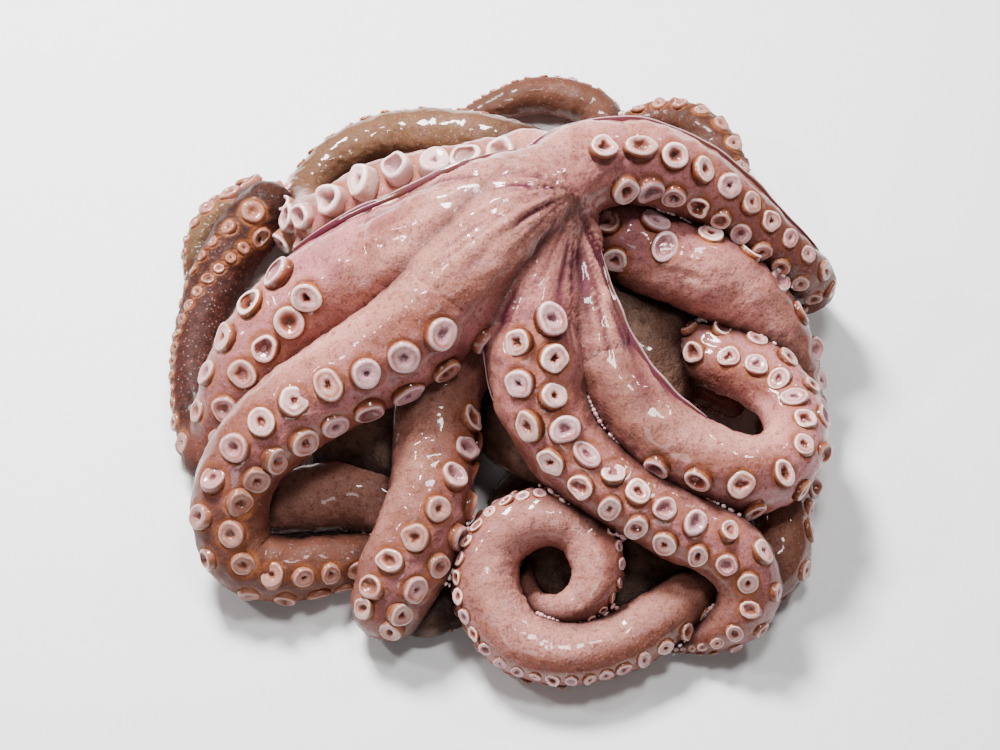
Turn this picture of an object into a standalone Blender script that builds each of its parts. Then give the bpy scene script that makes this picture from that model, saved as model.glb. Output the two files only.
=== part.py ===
"""A whole octopus in one piece: eight arms heaped over the body, as it lies on a counter."""

import bmesh
import bpy
import numpy as np
from mathutils import Matrix

MM = 0.001

# The heap is laid out as it is seen from the front and above, in millimetres to the right of and above
# the middle of that view, with the height over the counter as the third number
VIEW_ELEVATION = 58.0
VIEW_DISTANCE = 944.0

# Across, up, height of the middle of the arm, half its width, and the way its suckers are turned: 0 to
# the viewer, 90 to the left of the way the arm goes, 180 away
LEFT_ARM = (
    (
        (14, 70, 84, 20, -140), (-6, 64, 86, 21, -125), (-30, 53, 78, 21, -100), (-54, 43, 67, 20.5, -60),
        (-75, 30, 54, 19.5, -31), (-94, 12, 42, 18, -27), (-106, -8, 30, 15, -38), (-112, -25, 17, 12.5, -20),
        (-115, -31, 13, 12, 0),
    ),
    (
        (-115, -31, 12.5, 12, 80), (-120, -18, 11.3, 11.3, 92), (-122, -3, 11, 11, 92), (-120, 16, 12, 11.2, 85),
        (-114, 36, 16, 11.6, 45), (-104, 54, 21, 12, 5), (-93, 66, 23, 11.6, -25),
    ),
    (
        (-93, 66, 22, 11.4, -60), (-99, 69, 12, 9.6, -80), (-112, 62, 9, 8.9, -90), (-119, 52, 8.6, 8.5, -90),
        (-119, 41, 8.2, 8, -90), (-114, 31, 7.5, 7, -90), (-104, 25, 6, 5, -90), (-95, 25, 4.5, 3, -90),
    ),
)
FRONT_LEFT_ARM = (
    (
        (18, 73, 88, 19, 125), (3, 60, 90, 20, 110), (-12, 41, 83, 20, 75), (-28, 22, 73, 19.5, 50),
        (-46, 8, 65, 18.5, 42), (-68, -5, 57, 17.5, 25), (-89, -20, 48, 16.3, 12), (-104, -38, 37, 15, 0),
        (-108, -58, 26, 14.6, -28), (-102, -74, 17, 13.3, -38), (-84, -78, 13, 12, -44), (-68, -76, 11.5, 11, -50),
        (-54, -74, 10, 9.6, -60), (-40, -77, 9, 8.8, -90), (-30, -86, 8.6, 8.4, -120), (-20, -94, 8, 7.6, -120),
        (-9, -92, 7, 6, -120),
    ),
)
FRONT_ARM = (
    (
        (10, 60, 66, 16.5, 60), (-3, 34, 57, 17.5, 80), (-15, 10, 48, 17.5, 88), (-24, -12, 41, 16.8, 85),
        (-26, -32, 37, 16, 78), (-28, -50, 34, 16, 52), (-33.5, -67, 29, 16.4, 25), (-40.5, -82, 22, 15.8, -3),
        (-44.5, -91, 16, 14.2, -5),
    ),
    (
        (-44.5, -91, 13, 12, 60), (-35, -80, 11, 11, 150), (-36, -62, 12.5, 12.5, 180), (-48, -50, 13.6, 13.6, 180),
        (-62, -47.5, 13.8, 13.8, 180), (-78, -50, 12.5, 12.5, 180), (-92, -55, 9, 9, 180), (-102, -60, 7, 6, 180),
    ),
)
MIDDLE_ARM = (
    (
        (15, 64, 86, 18, 0), (13, 45, 80, 18, 0), (13.5, 25, 74, 18, 0), (14.5, 6, 66, 17.8, 0),
        (18, -13, 57.5, 16.6, -8), (27, -29.5, 50, 15.4, -10), (42, -43, 44, 14.3, -4), (59, -53, 40, 13.7, -14),
        (76, -62, 37, 13.2, -13), (89, -68.5, 34, 12.8, 4), (97.5, -77, 29, 12.4, 22), (99.8, -87, 23, 11.8, 36),
        (95.5, -96.5, 17, 10.4, 48), (87, -103, 11.5, 7.8, 58), (78, -106, 8, 5.4, 65), (69, -107.5, 6, 3.4, 70),
    ),
)
RIGHT_ARM = (
    (
        (23, 66, 82, 14.5, -160), (27, 49, 78, 12.2, -145), (32, 31, 73, 11.8, -135), (39, 12.5, 67, 12, -125),
        (48.5, -7, 59, 14, -108), (63.5, -24, 52, 15.2, -80), (85, -36.5, 46, 15.2, -52), (102, -40, 42, 14.8, -40),
        (113.5, -35, 39, 13.6, -38), (118.5, -22.5, 36.5, 12.4, -42), (113, -8, 35.5, 12.6, -44),
        (101, 2, 36, 13, -40), (88, 7, 35.5, 13, -33), (76, 9, 32, 12.2, -28), (66, 9, 27, 11, -24),
    ),
    (
        (66, 9, 26, 10.6, -24), (68, 2, 14, 8.6, -60), (80, -5, 9.5, 7.4, -100), (93, -12, 7, 5, -120),
    ),
)
LONG_ARM = (
    (
        (24, 68, 62, 14, -40), (38, 61, 60, 14.5, -30), (50, 54, 60, 15.5, -10), (64, 48, 58, 16.4, 42),
        (80, 43, 55, 16.8, 92), (97, 32, 45, 16.4, 100), (110, 15, 31, 15, 100), (116, -5, 17, 13.5, 100),
        (116, -22, 12.8, 12.8, 100), (114, -40, 12.5, 12.5, 100), (112, -58, 12.4, 12.4, 100),
        (112, -71, 12.3, 12.3, 100), (107, -81, 10.5, 10.5, 100), (95, -84, 7, 7, 100), (87, -84, 6.6, 6.4, 95),
        (78, -88, 11, 10, 92), (64, -98, 12.5, 11.6, 85), (46, -108, 13, 12, 85), (26, -112, 13.5, 12.2, 85), (6, -106, 15, 12.6, 85),
        (-5, -91, 20, 12.8, 85), (-5, -73, 26, 12.4, 85), (4, -61, 31, 11.8, 85), (19, -56.5, 33, 11.2, 85),
        (33, -62, 31, 10.8, 88), (39.5, -77, 27, 10.2, 90), (35, -89, 22, 8.8, 92), (25, -94.5, 18, 7, 92),
        (15, -92, 14, 5.2, 92), (10.5, -83, 12, 3.8, 92), (13, -74.5, 11.5, 3.1, 92), (20, -71.5, 11.5, 2.6, 92),
        (25, -76, 11.5, 2.2, 92), (22.5, -82, 11, 2, 92),
    ),
)
BACK_RIGHT_ARM = (
    (
        (14, 68, 88, 18, -10), (28, 80, 91, 17, -10), (42, 84.5, 90, 16.4, -10), (58, 84.5, 86, 15.6, -8),
        (76, 78, 78, 14.2, -5), (92, 67.5, 68, 12.6, 0), (107, 54, 56, 11.4, 5), (119, 42.5, 43, 10.8, 10),
        (124, 37, 30, 10.2, 20), (120, 35, 16, 9.8, 60), (110, 46, 13, 9.8, 120), (99, 60, 16, 10, 110),
        (92, 73, 21, 10.4, 95), (88, 87, 23, 10.5, 92), (80, 97.5, 22, 10.2, 90), (68, 101.5, 18, 9.6, 90),
        (55, 99, 14, 8.6, 90), (45, 92, 10, 7, 90), (37, 83, 7.5, 4, 90),
    ),
)
BACK_LEFT_ARM = (
    (
        (26, 80, 76, 15, 0), (8, 81, 72, 15.5, 0), (-12, 76, 65, 16, -10), (-32, 73, 58, 16, -12),
        (-50, 68, 50, 15.5, -8), (-66, 61, 39, 14, 0), (-75, 60, 26, 12, 30), (-78, 68, 14, 10.8, 90),
        (-73, 78, 12, 10.4, 118), (-63, 87, 14, 10.8, 124), (-47, 94, 19, 11.2, 126), (-30, 96, 24, 11.4, 126),
        (-12, 95, 27, 11.2, 128), (6, 91, 27, 10.8, 134), (22, 87, 24, 10.2, 150), (37, 88, 17, 9.6, 185),
        (43, 96, 12, 9.2, 222), (39, 105, 10, 8.8, 242), (27, 111, 11, 8.5, 244), (13, 112, 11, 8, 244),
        (0, 108, 10, 7.2, 246), (-11, 103, 8, 5.7, 250), (-20, 97, 6, 3.8, 252),
    ),
)
ARMS = (
    LEFT_ARM, FRONT_LEFT_ARM, FRONT_ARM, MIDDLE_ARM, RIGHT_ARM, LONG_ARM, BACK_RIGHT_ARM, BACK_LEFT_ARM,
)

# The body bag lies under the arms, with its skirt spread behind, in front and to the left, and a fold of it
# beside the coiled tip: where each middle is over the counter, then half its width, depth and height
BODY_LUMPS = (
    ((26, 15.5, 27), (55, 81.5, 27.5)),
    ((6, 62, 13), (76, 44, 14)),
    ((44, -72, 9), (50, 38, 10)),
    ((-42, -42, 14), (30, 26, 18)),
    ((-27, -106, 8), (15, 13, 9)),
)
# Rings and sides of each of them
LUMP_GRIDS = ((10, 20), (7, 16), (7, 14), (6, 12), (5, 10))
# The root of the arms, where all eight meet over the body
ROOT_MIDDLE = (8, 27, 52)
ROOT_HALF = (34, 37, 42)
ROOT_GRID = (9, 18)

# Faces round an arm, the step from ring to ring as a share of half its width, and the rings of a round end
SIDES = 10
STEP_PER_HALF_WIDTH = 0.9
CAP_RINGS = 2
FEWEST_RINGS = 6
# How far the side with the suckers lies from the middle, as a share of half the width
FLAT_OF_SUCKER_SIDE = 0.88

# How far along each arm its suckers start, in millimetres
SUCKER_STARTS = (84, 52, 84, 42, 98, 12, 26, 12)
# Suckers grow with the arm, but slowly on its thick part: their widest, how fast, and the gap from one to
# the next as a share of the width; the two rows lie this far round from the middle
SUCKER_WIDEST = 13.0
SUCKER_GROWTH_HALF_WIDTH = 12.0
SUCKER_GROWTH_POWER = 1.6
SUCKER_GAP = 0.64
SUCKER_ROW_TURN = 30.0
SUCKER_SIDES = 6
# Shares of a sucker's width: its height, how deep it is sunk, its dish, and how wide its foot and rim are
SUCKER_HEIGHT = 0.20
SUCKER_SINK = 0.20
SUCKER_DISH = 0.11
SUCKER_FOOT = 1.03
SUCKER_RIM = 0.88
# Smaller ones than this many millimetres lie flat in the skin; each differs from its rule by up to this share
SMALLEST_SUCKER = 9.3
SIZE_SPREAD = 0.06
SEED = 8
# Where an arm's suckers are wider than that, or its rows nearer each other: for the arm's number, pairs of
# the distance along it and the value there
SUCKER_SHARES = {0: ((270, 1.0), (290, 1.35), (318, 1.35), (335, 0.8)), 5: ((255, 1.0), (285, 0.66)),
                 7: ((120, 1.2), (150, 0.75)), 2: ((110, 1.0), (170, 0.85))}
SUCKER_TURNS = {3: ((0, 19.0), (100, 23.0), (160, 30.0))}
# Steps along an arm when its suckers are set out, in millimetres, and points of its smooth middle line
WALK_STEP = 1.1
FINE_POINTS = 1200

# Points nearer than this are one point; the counter that the heap's foot is cut flat by is this wide
WELD = 0.02
COUNTER_CUT = 400.0


def unit(v):
    """The same vectors at length one."""
    return v / (np.linalg.norm(v, axis=-1, keepdims=True) + 1e-12)


def view_axes():
    """Right, up and towards the eye in the front view, and the eye itself."""
    tilt = np.radians(VIEW_ELEVATION)
    right = np.array([1.0, 0.0, 0.0])
    up = np.array([0.0, np.sin(tilt), np.cos(tilt)])
    toward = np.array([0.0, -np.cos(tilt), np.sin(tilt)])
    return right, up, toward, toward * VIEW_DISTANCE


def spot(across, up_by, height):
    """The point at this height over the counter that the viewer sees at this place in the view."""
    right, up, _toward, eye = view_axes()
    ray = right * across + up * up_by - eye
    return eye + ray * (height - eye[2]) / ray[2]


def through(rows, count):
    """A smooth curve through rows of numbers, evenly walked by the root of the chord."""
    rows = np.asarray(rows, float)
    chord = np.sqrt(np.linalg.norm(np.diff(rows[:, :3], axis=0), axis=1))
    knots = np.concatenate([[0.0], np.cumsum(chord)])
    rows = np.vstack([2 * rows[0] - rows[1], rows, 2 * rows[-1] - rows[-2]])
    knots = np.concatenate([[2 * knots[0] - knots[1]], knots, [2 * knots[-1] - knots[-2]]])
    at = np.linspace(knots[1], knots[-2], count)
    k = np.clip(np.searchsorted(knots, at, side="right") - 1, 1, len(knots) - 3)
    t = [knots[k + i][:, None] for i in (-1, 0, 1, 2)]
    p = [rows[k + i] for i in (-1, 0, 1, 2)]
    at = at[:, None]

    def blend(a, b, ta, tb):
        return ((tb - at) * a + (at - ta) * b) / (tb - ta)

    first = [blend(p[i], p[i + 1], t[i], t[i + 1]) for i in range(3)]
    second = [blend(first[i], first[i + 1], t[i], t[i + 2]) for i in range(2)]
    return blend(second[0], second[1], t[1], t[2])


def fine_course(rows):
    """The arm's middle, half width and turn as a fine line, and the distance walked along it."""
    rows = np.array([(*spot(a, u, h), half, turn) for a, u, h, half, turn in rows])
    fine = through(rows, FINE_POINTS)
    length = np.linalg.norm(np.diff(fine[:, :3], axis=0), axis=1)
    return fine, np.concatenate([[0.0], np.cumsum(length)])


def picked(values, along, at):
    """Rows of numbers at these distances along a line."""
    return np.stack([np.interp(at, along, values[:, i]) for i in range(values.shape[1])], 1)


def course(rows):
    """The arm's line at steps that shorten as it thins."""
    fine, walked = fine_course(rows)
    half = 0.5 * (fine[1:, 3] + fine[:-1, 3])
    steps = np.concatenate([[0.0], np.cumsum(np.diff(walked) / half)])
    count = max(FEWEST_RINGS, int(round(steps[-1] / STEP_PER_HALF_WIDTH)) + 1)
    return picked(fine, steps, np.linspace(0.0, steps[-1], count))


def even_course(rows):
    """The arm's line at even short steps, and the distance walked along it."""
    fine, walked = fine_course(rows)
    at = np.linspace(0.0, walked[-1], int(round(walked[-1] / WALK_STEP)) + 1)
    return picked(fine, walked, at), at


def frames(line):
    """At each step: the way on, the way the suckers face and the way across."""
    eye = view_axes()[3]
    way = unit(np.gradient(line[:, :3], axis=0))
    face = unit(eye - line[:, :3])
    face = unit(face - (face * way).sum(1, keepdims=True) * way)
    left = np.cross(face, way)
    turn = np.radians(line[:, 4:5])
    suckers = np.cos(turn) * face + np.sin(turn) * left
    return way, suckers, np.cross(way, suckers)


def section(angle):
    """How far the skin lies from the middle, as a share of half the width: flatter where the suckers are."""
    facing = np.clip(np.cos(angle), 0.0, 1.0)
    return 1.0 - (1.0 - FLAT_OF_SUCKER_SIDE) * facing**2


def tube(line):
    """One closed arm or length of arm with round ends."""
    way, suckers, across = frames(line)
    angle = np.arange(SIDES) * 2 * np.pi / SIDES
    caps = np.radians(90.0 * (np.arange(CAP_RINGS) + 1) / (CAP_RINGS + 1))
    middles = [line[:, :3]]
    halves = [line[:, 3]]
    picks = [np.arange(len(line))]
    for end, sign in ((0, -1.0), (len(line) - 1, 1.0)):
        out = line[end, :3] + sign * way[end] * line[end, 3] * np.sin(caps)[:, None]
        ring = line[end, 3] * np.cos(caps)
        pick = np.full(CAP_RINGS, end)
        if sign < 0:
            middles.insert(0, out[::-1])
            halves.insert(0, ring[::-1])
            picks.insert(0, pick)
        else:
            middles.append(out)
            halves.append(ring)
            picks.append(pick)
    middle = np.vstack(middles)
    half = np.concatenate(halves)
    pick = np.concatenate(picks)
    turned = np.cos(angle)[None, :, None] * suckers[pick][:, None, :]
    turned = turned + np.sin(angle)[None, :, None] * across[pick][:, None, :]
    reach = half[:, None] * section(angle)[None, :]
    rings = middle[:, None, :] + turned * reach[:, :, None]
    count = len(middle)
    tips = np.array([line[0, :3] - way[0] * line[0, 3], line[-1, :3] + way[-1] * line[-1, 3]])
    points = np.vstack([rings.reshape(-1, 3), tips])
    faces = []
    for i in range(count - 1):
        for j in range(SIDES):
            k = (j + 1) % SIDES
            faces.append((i * SIDES + j, i * SIDES + k, (i + 1) * SIDES + k, (i + 1) * SIDES + j))
    first, last = count * SIDES, count * SIDES + 1
    for j in range(SIDES):
        k = (j + 1) % SIDES
        faces.append((first, k, j))
        faces.append((last, (count - 1) * SIDES + j, (count - 1) * SIDES + k))
    return points, faces


def sucker(place, out, along, width):
    """A low cup: it stands on the skin, is narrowed at the rim and dished in the middle."""
    side = np.cross(out, along)
    angle = np.arange(SUCKER_SIDES) * 2 * np.pi / SUCKER_SIDES
    ring = np.cos(angle)[:, None] * along + np.sin(angle)[:, None] * side
    half = 0.5 * width
    foot = place - out * width * SUCKER_SINK + ring * half * SUCKER_FOOT
    rim = place + out * width * SUCKER_HEIGHT + ring * half * SUCKER_RIM
    dish = place + out * width * (SUCKER_HEIGHT - SUCKER_DISH)
    under = place - out * width * SUCKER_SINK
    points = np.vstack([foot, rim, dish[None], under[None]])
    faces = []
    for j in range(SUCKER_SIDES):
        k = (j + 1) % SUCKER_SIDES
        faces.append((j, k, SUCKER_SIDES + k, SUCKER_SIDES + j))
        faces.append((SUCKER_SIDES + j, SUCKER_SIDES + k, 2 * SUCKER_SIDES))
        faces.append((k, j, 2 * SUCKER_SIDES + 1))
    return points, faces


def along_arm(pairs, walked):
    """The value at these distances along an arm, from pairs of a distance and the value there."""
    at, value = np.array(pairs, float).T
    return np.interp(walked, at, value)


def sucker_places(arm, line, at, start, before):
    """Two rows in step with each other's gaps: each place, the way out, the way along and the width."""
    way, suckers, across = frames(line)
    width = SUCKER_WIDEST * (1.0 - np.exp(-((line[:, 3] / SUCKER_GROWTH_HALF_WIDTH) ** SUCKER_GROWTH_POWER)))
    width = width * along_arm(SUCKER_SHARES.get(arm, ((0, 1.0),)), at + before)
    pitch = 0.5 * (width[1:] + width[:-1]) * SUCKER_GAP
    count = np.concatenate([[0.0], np.cumsum(np.diff(at) / pitch)])
    number = np.arange(1, int(count[-1]))
    here = np.interp(number, count, at)
    row = picked(line, at, here)
    turn = along_arm(SUCKER_TURNS.get(arm, ((0, SUCKER_ROW_TURN),)), here + before)
    turn = np.radians(turn) * np.where(number % 2, 1.0, -1.0)
    out = np.cos(turn)[:, None] * picked(suckers, at, here) + np.sin(turn)[:, None] * picked(across, at, here)
    out = unit(out)
    place = row[:, :3] + out * (row[:, 3] * section(turn))[:, None]
    far = here + before > start
    return place[far], out[far], unit(picked(way, at, here))[far], np.interp(here, at, width)[far]


def ball(middle, half, rings, sides):
    """A closed rounded body with this middle and these three half sizes."""
    up = np.pi * (np.arange(1, rings) / rings)
    round_ = 2 * np.pi * np.arange(sides) / sides
    grid = np.stack([
        np.sin(up)[:, None] * np.cos(round_)[None, :],
        np.sin(up)[:, None] * np.sin(round_)[None, :],
        np.cos(up)[:, None] * np.ones(sides)[None, :],
    ], 2)
    points = np.vstack([grid.reshape(-1, 3), [[0, 0, 1], [0, 0, -1]]]) * np.array(half) + middle
    faces = []
    for i in range(rings - 2):
        for j in range(sides):
            k = (j + 1) % sides
            faces.append((i * sides + j, (i + 1) * sides + j, (i + 1) * sides + k, i * sides + k))
    top, bottom = (rings - 1) * sides, (rings - 1) * sides + 1
    for j in range(sides):
        k = (j + 1) % sides
        faces.append((top, j, k))
        faces.append((bottom, (rings - 2) * sides + k, (rings - 2) * sides + j))
    return points, faces


def body_object(name, points, faces, collection):
    """An object of these points in millimetres, with its faces turned outward."""
    mesh = bpy.data.meshes.new(name)
    mesh.from_pydata([tuple(p) for p in np.asarray(points) * MM], [], [tuple(f) for f in faces])
    work = bmesh.new()
    work.from_mesh(mesh)
    bmesh.ops.recalc_face_normals(work, faces=work.faces)
    bmesh.ops.triangulate(work, faces=work.faces)
    work.to_mesh(mesh)
    work.free()
    made = bpy.data.objects.new(name, mesh)
    collection.objects.link(made)
    return made


def settle(obj, modifier):
    """Puts the modifier's result into the object's own mesh."""
    bpy.context.view_layer.update()
    shape = bpy.data.meshes.new_from_object(obj.evaluated_get(bpy.context.evaluated_depsgraph_get()))
    obj.modifiers.remove(modifier)
    old = obj.data
    obj.data = shape
    bpy.data.meshes.remove(old)


def largest_body(obj):
    """Keeps the one outer body and drops loose scrap and sealed hollows."""
    work = bmesh.new()
    work.from_mesh(obj.data)
    bmesh.ops.triangulate(work, faces=work.faces)
    bmesh.ops.remove_doubles(work, verts=work.verts, dist=WELD * MM)
    bmesh.ops.dissolve_degenerate(work, edges=work.edges, dist=0.5 * WELD * MM)
    bmesh.ops.triangulate(work, faces=work.faces)
    left = set(work.faces)
    groups = []
    while left:
        seed = left.pop()
        group, stack = {seed}, [seed]
        while stack:
            for edge in stack.pop().edges:
                for face in edge.link_faces:
                    if face in left:
                        left.discard(face)
                        group.add(face)
                        stack.append(face)
        groups.append(group)
    keep = max(groups, key=len)
    drop = [face for group in groups if group is not keep for face in group]
    bmesh.ops.delete(work, geom=drop, context="FACES")
    loose = [vert for vert in work.verts if not vert.link_faces]
    bmesh.ops.delete(work, geom=loose, context="VERTS")
    work.to_mesh(obj.data)
    work.free()


def skin():
    """Raw wet skin."""
    material = bpy.data.materials.new("octopus_skin")
    material.use_nodes = True
    shader = material.node_tree.nodes["Principled BSDF"]
    shader.inputs["Base Color"].default_value = (0.42, 0.25, 0.21, 1.0)
    shader.inputs["Roughness"].default_value = 0.32
    shader.inputs["Metallic"].default_value = 0.0
    return material


def main():
    for old in list(bpy.data.objects):
        bpy.data.objects.remove(old)
    draw = np.random.default_rng(SEED)
    pieces = bpy.data.collections.new("pieces")
    bpy.context.scene.collection.children.link(pieces)
    lines = []
    rows_of_suckers = []
    for arm, (runs, start) in enumerate(zip(ARMS, SUCKER_STARTS)):
        before = 0.0
        for run in runs:
            line, at = even_course(run)
            rows_of_suckers.append(sucker_places(arm, line, at, start, before))
            before += at[-1]
            lines.append(course(run))
    low = min(float((line[:, 2] - line[:, 3]).min()) for line in lines)
    print("lowest skin over the counter", round(low, 2))
    for number, line in enumerate(lines):
        body_object(f"arm_{number}", *tube(line), pieces)
    small = 0
    for number, row in enumerate(rows_of_suckers):
        for place, out, along, width in zip(*row):
            width = width * (1.0 + SIZE_SPREAD * draw.uniform(-1, 1))
            tip = place + out * width * SUCKER_HEIGHT
            clear = True
            for other, line in enumerate(lines):
                gap = (np.linalg.norm(line[:, :3] - tip, axis=1) - line[:, 3]).min()
                if other != number and gap < 0.0:
                    clear = False
            if width < SMALLEST_SUCKER or not clear:
                continue
            small += 1
            body_object(f"sucker_{small}", *sucker(place, out, along, width), pieces)
    print("suckers in the solid", small)
    body_object("roots", *ball(ROOT_MIDDLE, ROOT_HALF, *ROOT_GRID), pieces)
    for number, ((middle, half), grid) in enumerate(zip(BODY_LUMPS[1:], LUMP_GRIDS[1:])):
        body_object(f"skirt_{number}", *ball(middle, half, *grid), pieces)
    octopus = body_object("octopus", *ball(*BODY_LUMPS[0], *LUMP_GRIDS[0]), bpy.context.scene.collection)
    join = octopus.modifiers.new("join", "BOOLEAN")
    join.operation = "UNION"
    join.operand_type = "COLLECTION"
    join.collection = pieces
    join.solver = "MANIFOLD"
    settle(octopus, join)
    for piece in list(pieces.objects):
        bpy.data.objects.remove(piece)
    bpy.data.collections.remove(pieces)
    half = 0.5 * COUNTER_CUT
    corners = np.array([[x, y, z] for z in (-half, 0.0) for y in (-half, half) for x in (-half, half)])
    quads = [(0, 2, 3, 1), (4, 5, 7, 6), (0, 1, 5, 4), (1, 3, 7, 5), (3, 2, 6, 7), (2, 0, 4, 6)]
    slab = body_object("counter", corners, quads, bpy.context.scene.collection)
    cut = octopus.modifiers.new("counter", "BOOLEAN")
    cut.operation = "DIFFERENCE"
    cut.object = slab
    cut.solver = "MANIFOLD"
    settle(octopus, cut)
    bpy.data.objects.remove(slab)
    largest_body(octopus)
    points = np.array([vert.co[:] for vert in octopus.data.vertices])
    middle = 0.5 * (points.min(0) + points.max(0))
    shift = (-middle[0], -middle[1], -points[:, 2].min())
    print("shift in mm", np.round(np.array(shift) / MM, 2))
    octopus.data.transform(Matrix.Translation(shift))
    for polygon in octopus.data.polygons:
        polygon.use_smooth = True
    octopus.data.materials.clear()
    octopus.data.materials.append(skin())
    print("faces", len(octopus.data.polygons), "size in mm", np.round((points.max(0) - points.min(0)) / MM, 1))


if __name__ == "__main__":
    main()
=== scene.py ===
"""A whole octopus heaped on a counter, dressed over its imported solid: wet skin, suckers, crown and body."""

from collections import namedtuple

import bpy
import numpy as np
from bpy.props import BoolProperty, FloatProperty, FloatVectorProperty, IntProperty, PointerProperty
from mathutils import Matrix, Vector


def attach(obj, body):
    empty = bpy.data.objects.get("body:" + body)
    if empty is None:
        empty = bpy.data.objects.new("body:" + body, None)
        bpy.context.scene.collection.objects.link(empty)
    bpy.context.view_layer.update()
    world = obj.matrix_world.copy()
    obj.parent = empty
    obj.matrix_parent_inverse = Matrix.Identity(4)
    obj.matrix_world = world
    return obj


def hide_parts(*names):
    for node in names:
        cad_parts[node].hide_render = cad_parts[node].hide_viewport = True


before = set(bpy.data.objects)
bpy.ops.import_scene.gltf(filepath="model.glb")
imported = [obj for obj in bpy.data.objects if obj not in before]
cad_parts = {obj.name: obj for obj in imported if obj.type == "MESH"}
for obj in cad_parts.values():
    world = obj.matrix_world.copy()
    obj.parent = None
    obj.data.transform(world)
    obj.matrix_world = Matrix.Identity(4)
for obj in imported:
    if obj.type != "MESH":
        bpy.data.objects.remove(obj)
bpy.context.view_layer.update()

bl_info = {
    "name": "Octopus on a counter",
    "version": (1, 0, 0),
    "blender": (4, 5, 0),
    "location": "3D View > Sidebar > Octopus",
    "description": "Builds the skin, suckers, crown and body of a heaped octopus, and its stage",
    "category": "Add Mesh",
}

MM = 0.001
NODE = "octopus"
BODY = "root"

# The heap is laid out as it is seen from the front and above, in millimetres to the right of and above
# the middle of that view, with the height over the counter as the third number
VIEW_ELEVATION = 58.0
VIEW_DISTANCE = 944.0
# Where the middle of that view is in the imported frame, in millimetres
HEAP_SHIFT = np.array((-1.27, -0.44, 0.0))
# How wide the view is at the heap in mm, and the camera's sensor
VIEW_WIDTH = 400.0
SENSOR = 36.0
# Height of the floor, a hair under the octopus, and half its side, in metres
FLOOR = -0.0002
FLOOR_HALF = 3.0

# Across, up, height of the middle of the arm, half its width, and the way its suckers are turned: 0 to
# the viewer, 90 to the left of the way the arm goes, 180 away
LEFT_ARM = (
    (
        (14, 70, 84, 20, -140), (-6, 64, 86, 21, -125), (-30, 53, 78, 21, -100), (-54, 43, 67, 20.5, -60),
        (-75, 30, 54, 19.5, -31), (-94, 12, 42, 18, -27), (-106, -8, 30, 15, -38), (-112, -25, 17, 12.5, -20),
        (-115, -31, 13, 12, 0),
    ),
    (
        (-115, -31, 12.5, 12, 80), (-120, -18, 11.3, 11.3, 92), (-122, -3, 11, 11, 92), (-120, 16, 12, 11.2, 85),
        (-114, 36, 16, 11.6, 45), (-104, 54, 21, 12, 5), (-93, 66, 23, 11.6, -25),
    ),
    (
        (-93, 66, 22, 11.4, -60), (-99, 69, 12, 9.6, -80), (-112, 62, 9, 8.9, -90), (-119, 52, 8.6, 8.5, -90),
        (-119, 41, 8.2, 8, -90), (-114, 31, 7.5, 7, -90), (-104, 25, 6, 5, -90), (-95, 25, 4.5, 3, -90),
    ),
)
FRONT_LEFT_ARM = (
    (
        (18, 73, 88, 19, 125), (3, 60, 90, 20, 110), (-12, 41, 83, 20, 75), (-28, 22, 73, 19.5, 50),
        (-46, 8, 65, 18.5, 42), (-68, -5, 57, 17.5, 25), (-89, -20, 48, 16.3, 12), (-104, -38, 37, 15, 0),
        (-108, -58, 26, 14.6, -28), (-102, -74, 17, 13.3, -38), (-84, -78, 13, 12, -44), (-68, -76, 11.5, 11, -50),
        (-54, -74, 10, 9.6, -60), (-40, -77, 9, 8.8, -90), (-30, -86, 8.6, 8.4, -120), (-20, -94, 8, 7.6, -120),
        (-9, -92, 7, 6, -120),
    ),
)
FRONT_ARM = (
    (
        (10, 60, 66, 16.5, 60), (-3, 34, 57, 17.5, 80), (-15, 10, 48, 17.5, 88), (-24, -12, 41, 16.8, 85),
        (-26, -32, 37, 16, 78), (-28, -50, 34, 16, 52), (-33.5, -67, 29, 16.4, 25), (-40.5, -82, 22, 15.8, -3),
        (-44.5, -91, 16, 14.2, -5),
    ),
    (
        (-44.5, -91, 13, 12, 60), (-35, -80, 11, 11, 150), (-36, -62, 12.5, 12.5, 180), (-48, -50, 13.6, 13.6, 180),
        (-62, -47.5, 13.8, 13.8, 180), (-78, -50, 12.5, 12.5, 180), (-92, -55, 9, 9, 180), (-102, -60, 7, 6, 180),
    ),
)
MIDDLE_ARM = (
    (
        (15, 64, 86, 18, 0), (13, 45, 80, 18, 0), (13.5, 25, 74, 18, 0), (14.5, 6, 66, 17.8, 0),
        (18, -13, 57.5, 16.6, -8), (27, -29.5, 50, 15.4, -10), (42, -43, 44, 14.3, -4), (59, -53, 40, 13.7, -14),
        (76, -62, 37, 13.2, -13), (89, -68.5, 34, 12.8, 4), (97.5, -77, 29, 12.4, 22), (99.8, -87, 23, 11.8, 36),
        (95.5, -96.5, 17, 10.4, 48), (87, -103, 11.5, 7.8, 58), (78, -106, 8, 5.4, 65), (69, -107.5, 6, 3.4, 70),
    ),
)
RIGHT_ARM = (
    (
        (23, 66, 82, 14.5, -160), (27, 49, 78, 12.2, -145), (32, 31, 73, 11.8, -135), (39, 12.5, 67, 12, -125),
        (48.5, -7, 59, 14, -108), (63.5, -24, 52, 15.2, -80), (85, -36.5, 46, 15.2, -52), (102, -40, 42, 14.8, -40),
        (113.5, -35, 39, 13.6, -38), (118.5, -22.5, 36.5, 12.4, -42), (113, -8, 35.5, 12.6, -44),
        (101, 2, 36, 13, -40), (88, 7, 35.5, 13, -33), (76, 9, 32, 12.2, -28), (66, 9, 27, 11, -24),
    ),
    (
        (66, 9, 26, 10.6, -24), (68, 2, 14, 8.6, -60), (80, -5, 9.5, 7.4, -100), (93, -12, 7, 5, -120),
    ),
)
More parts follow.
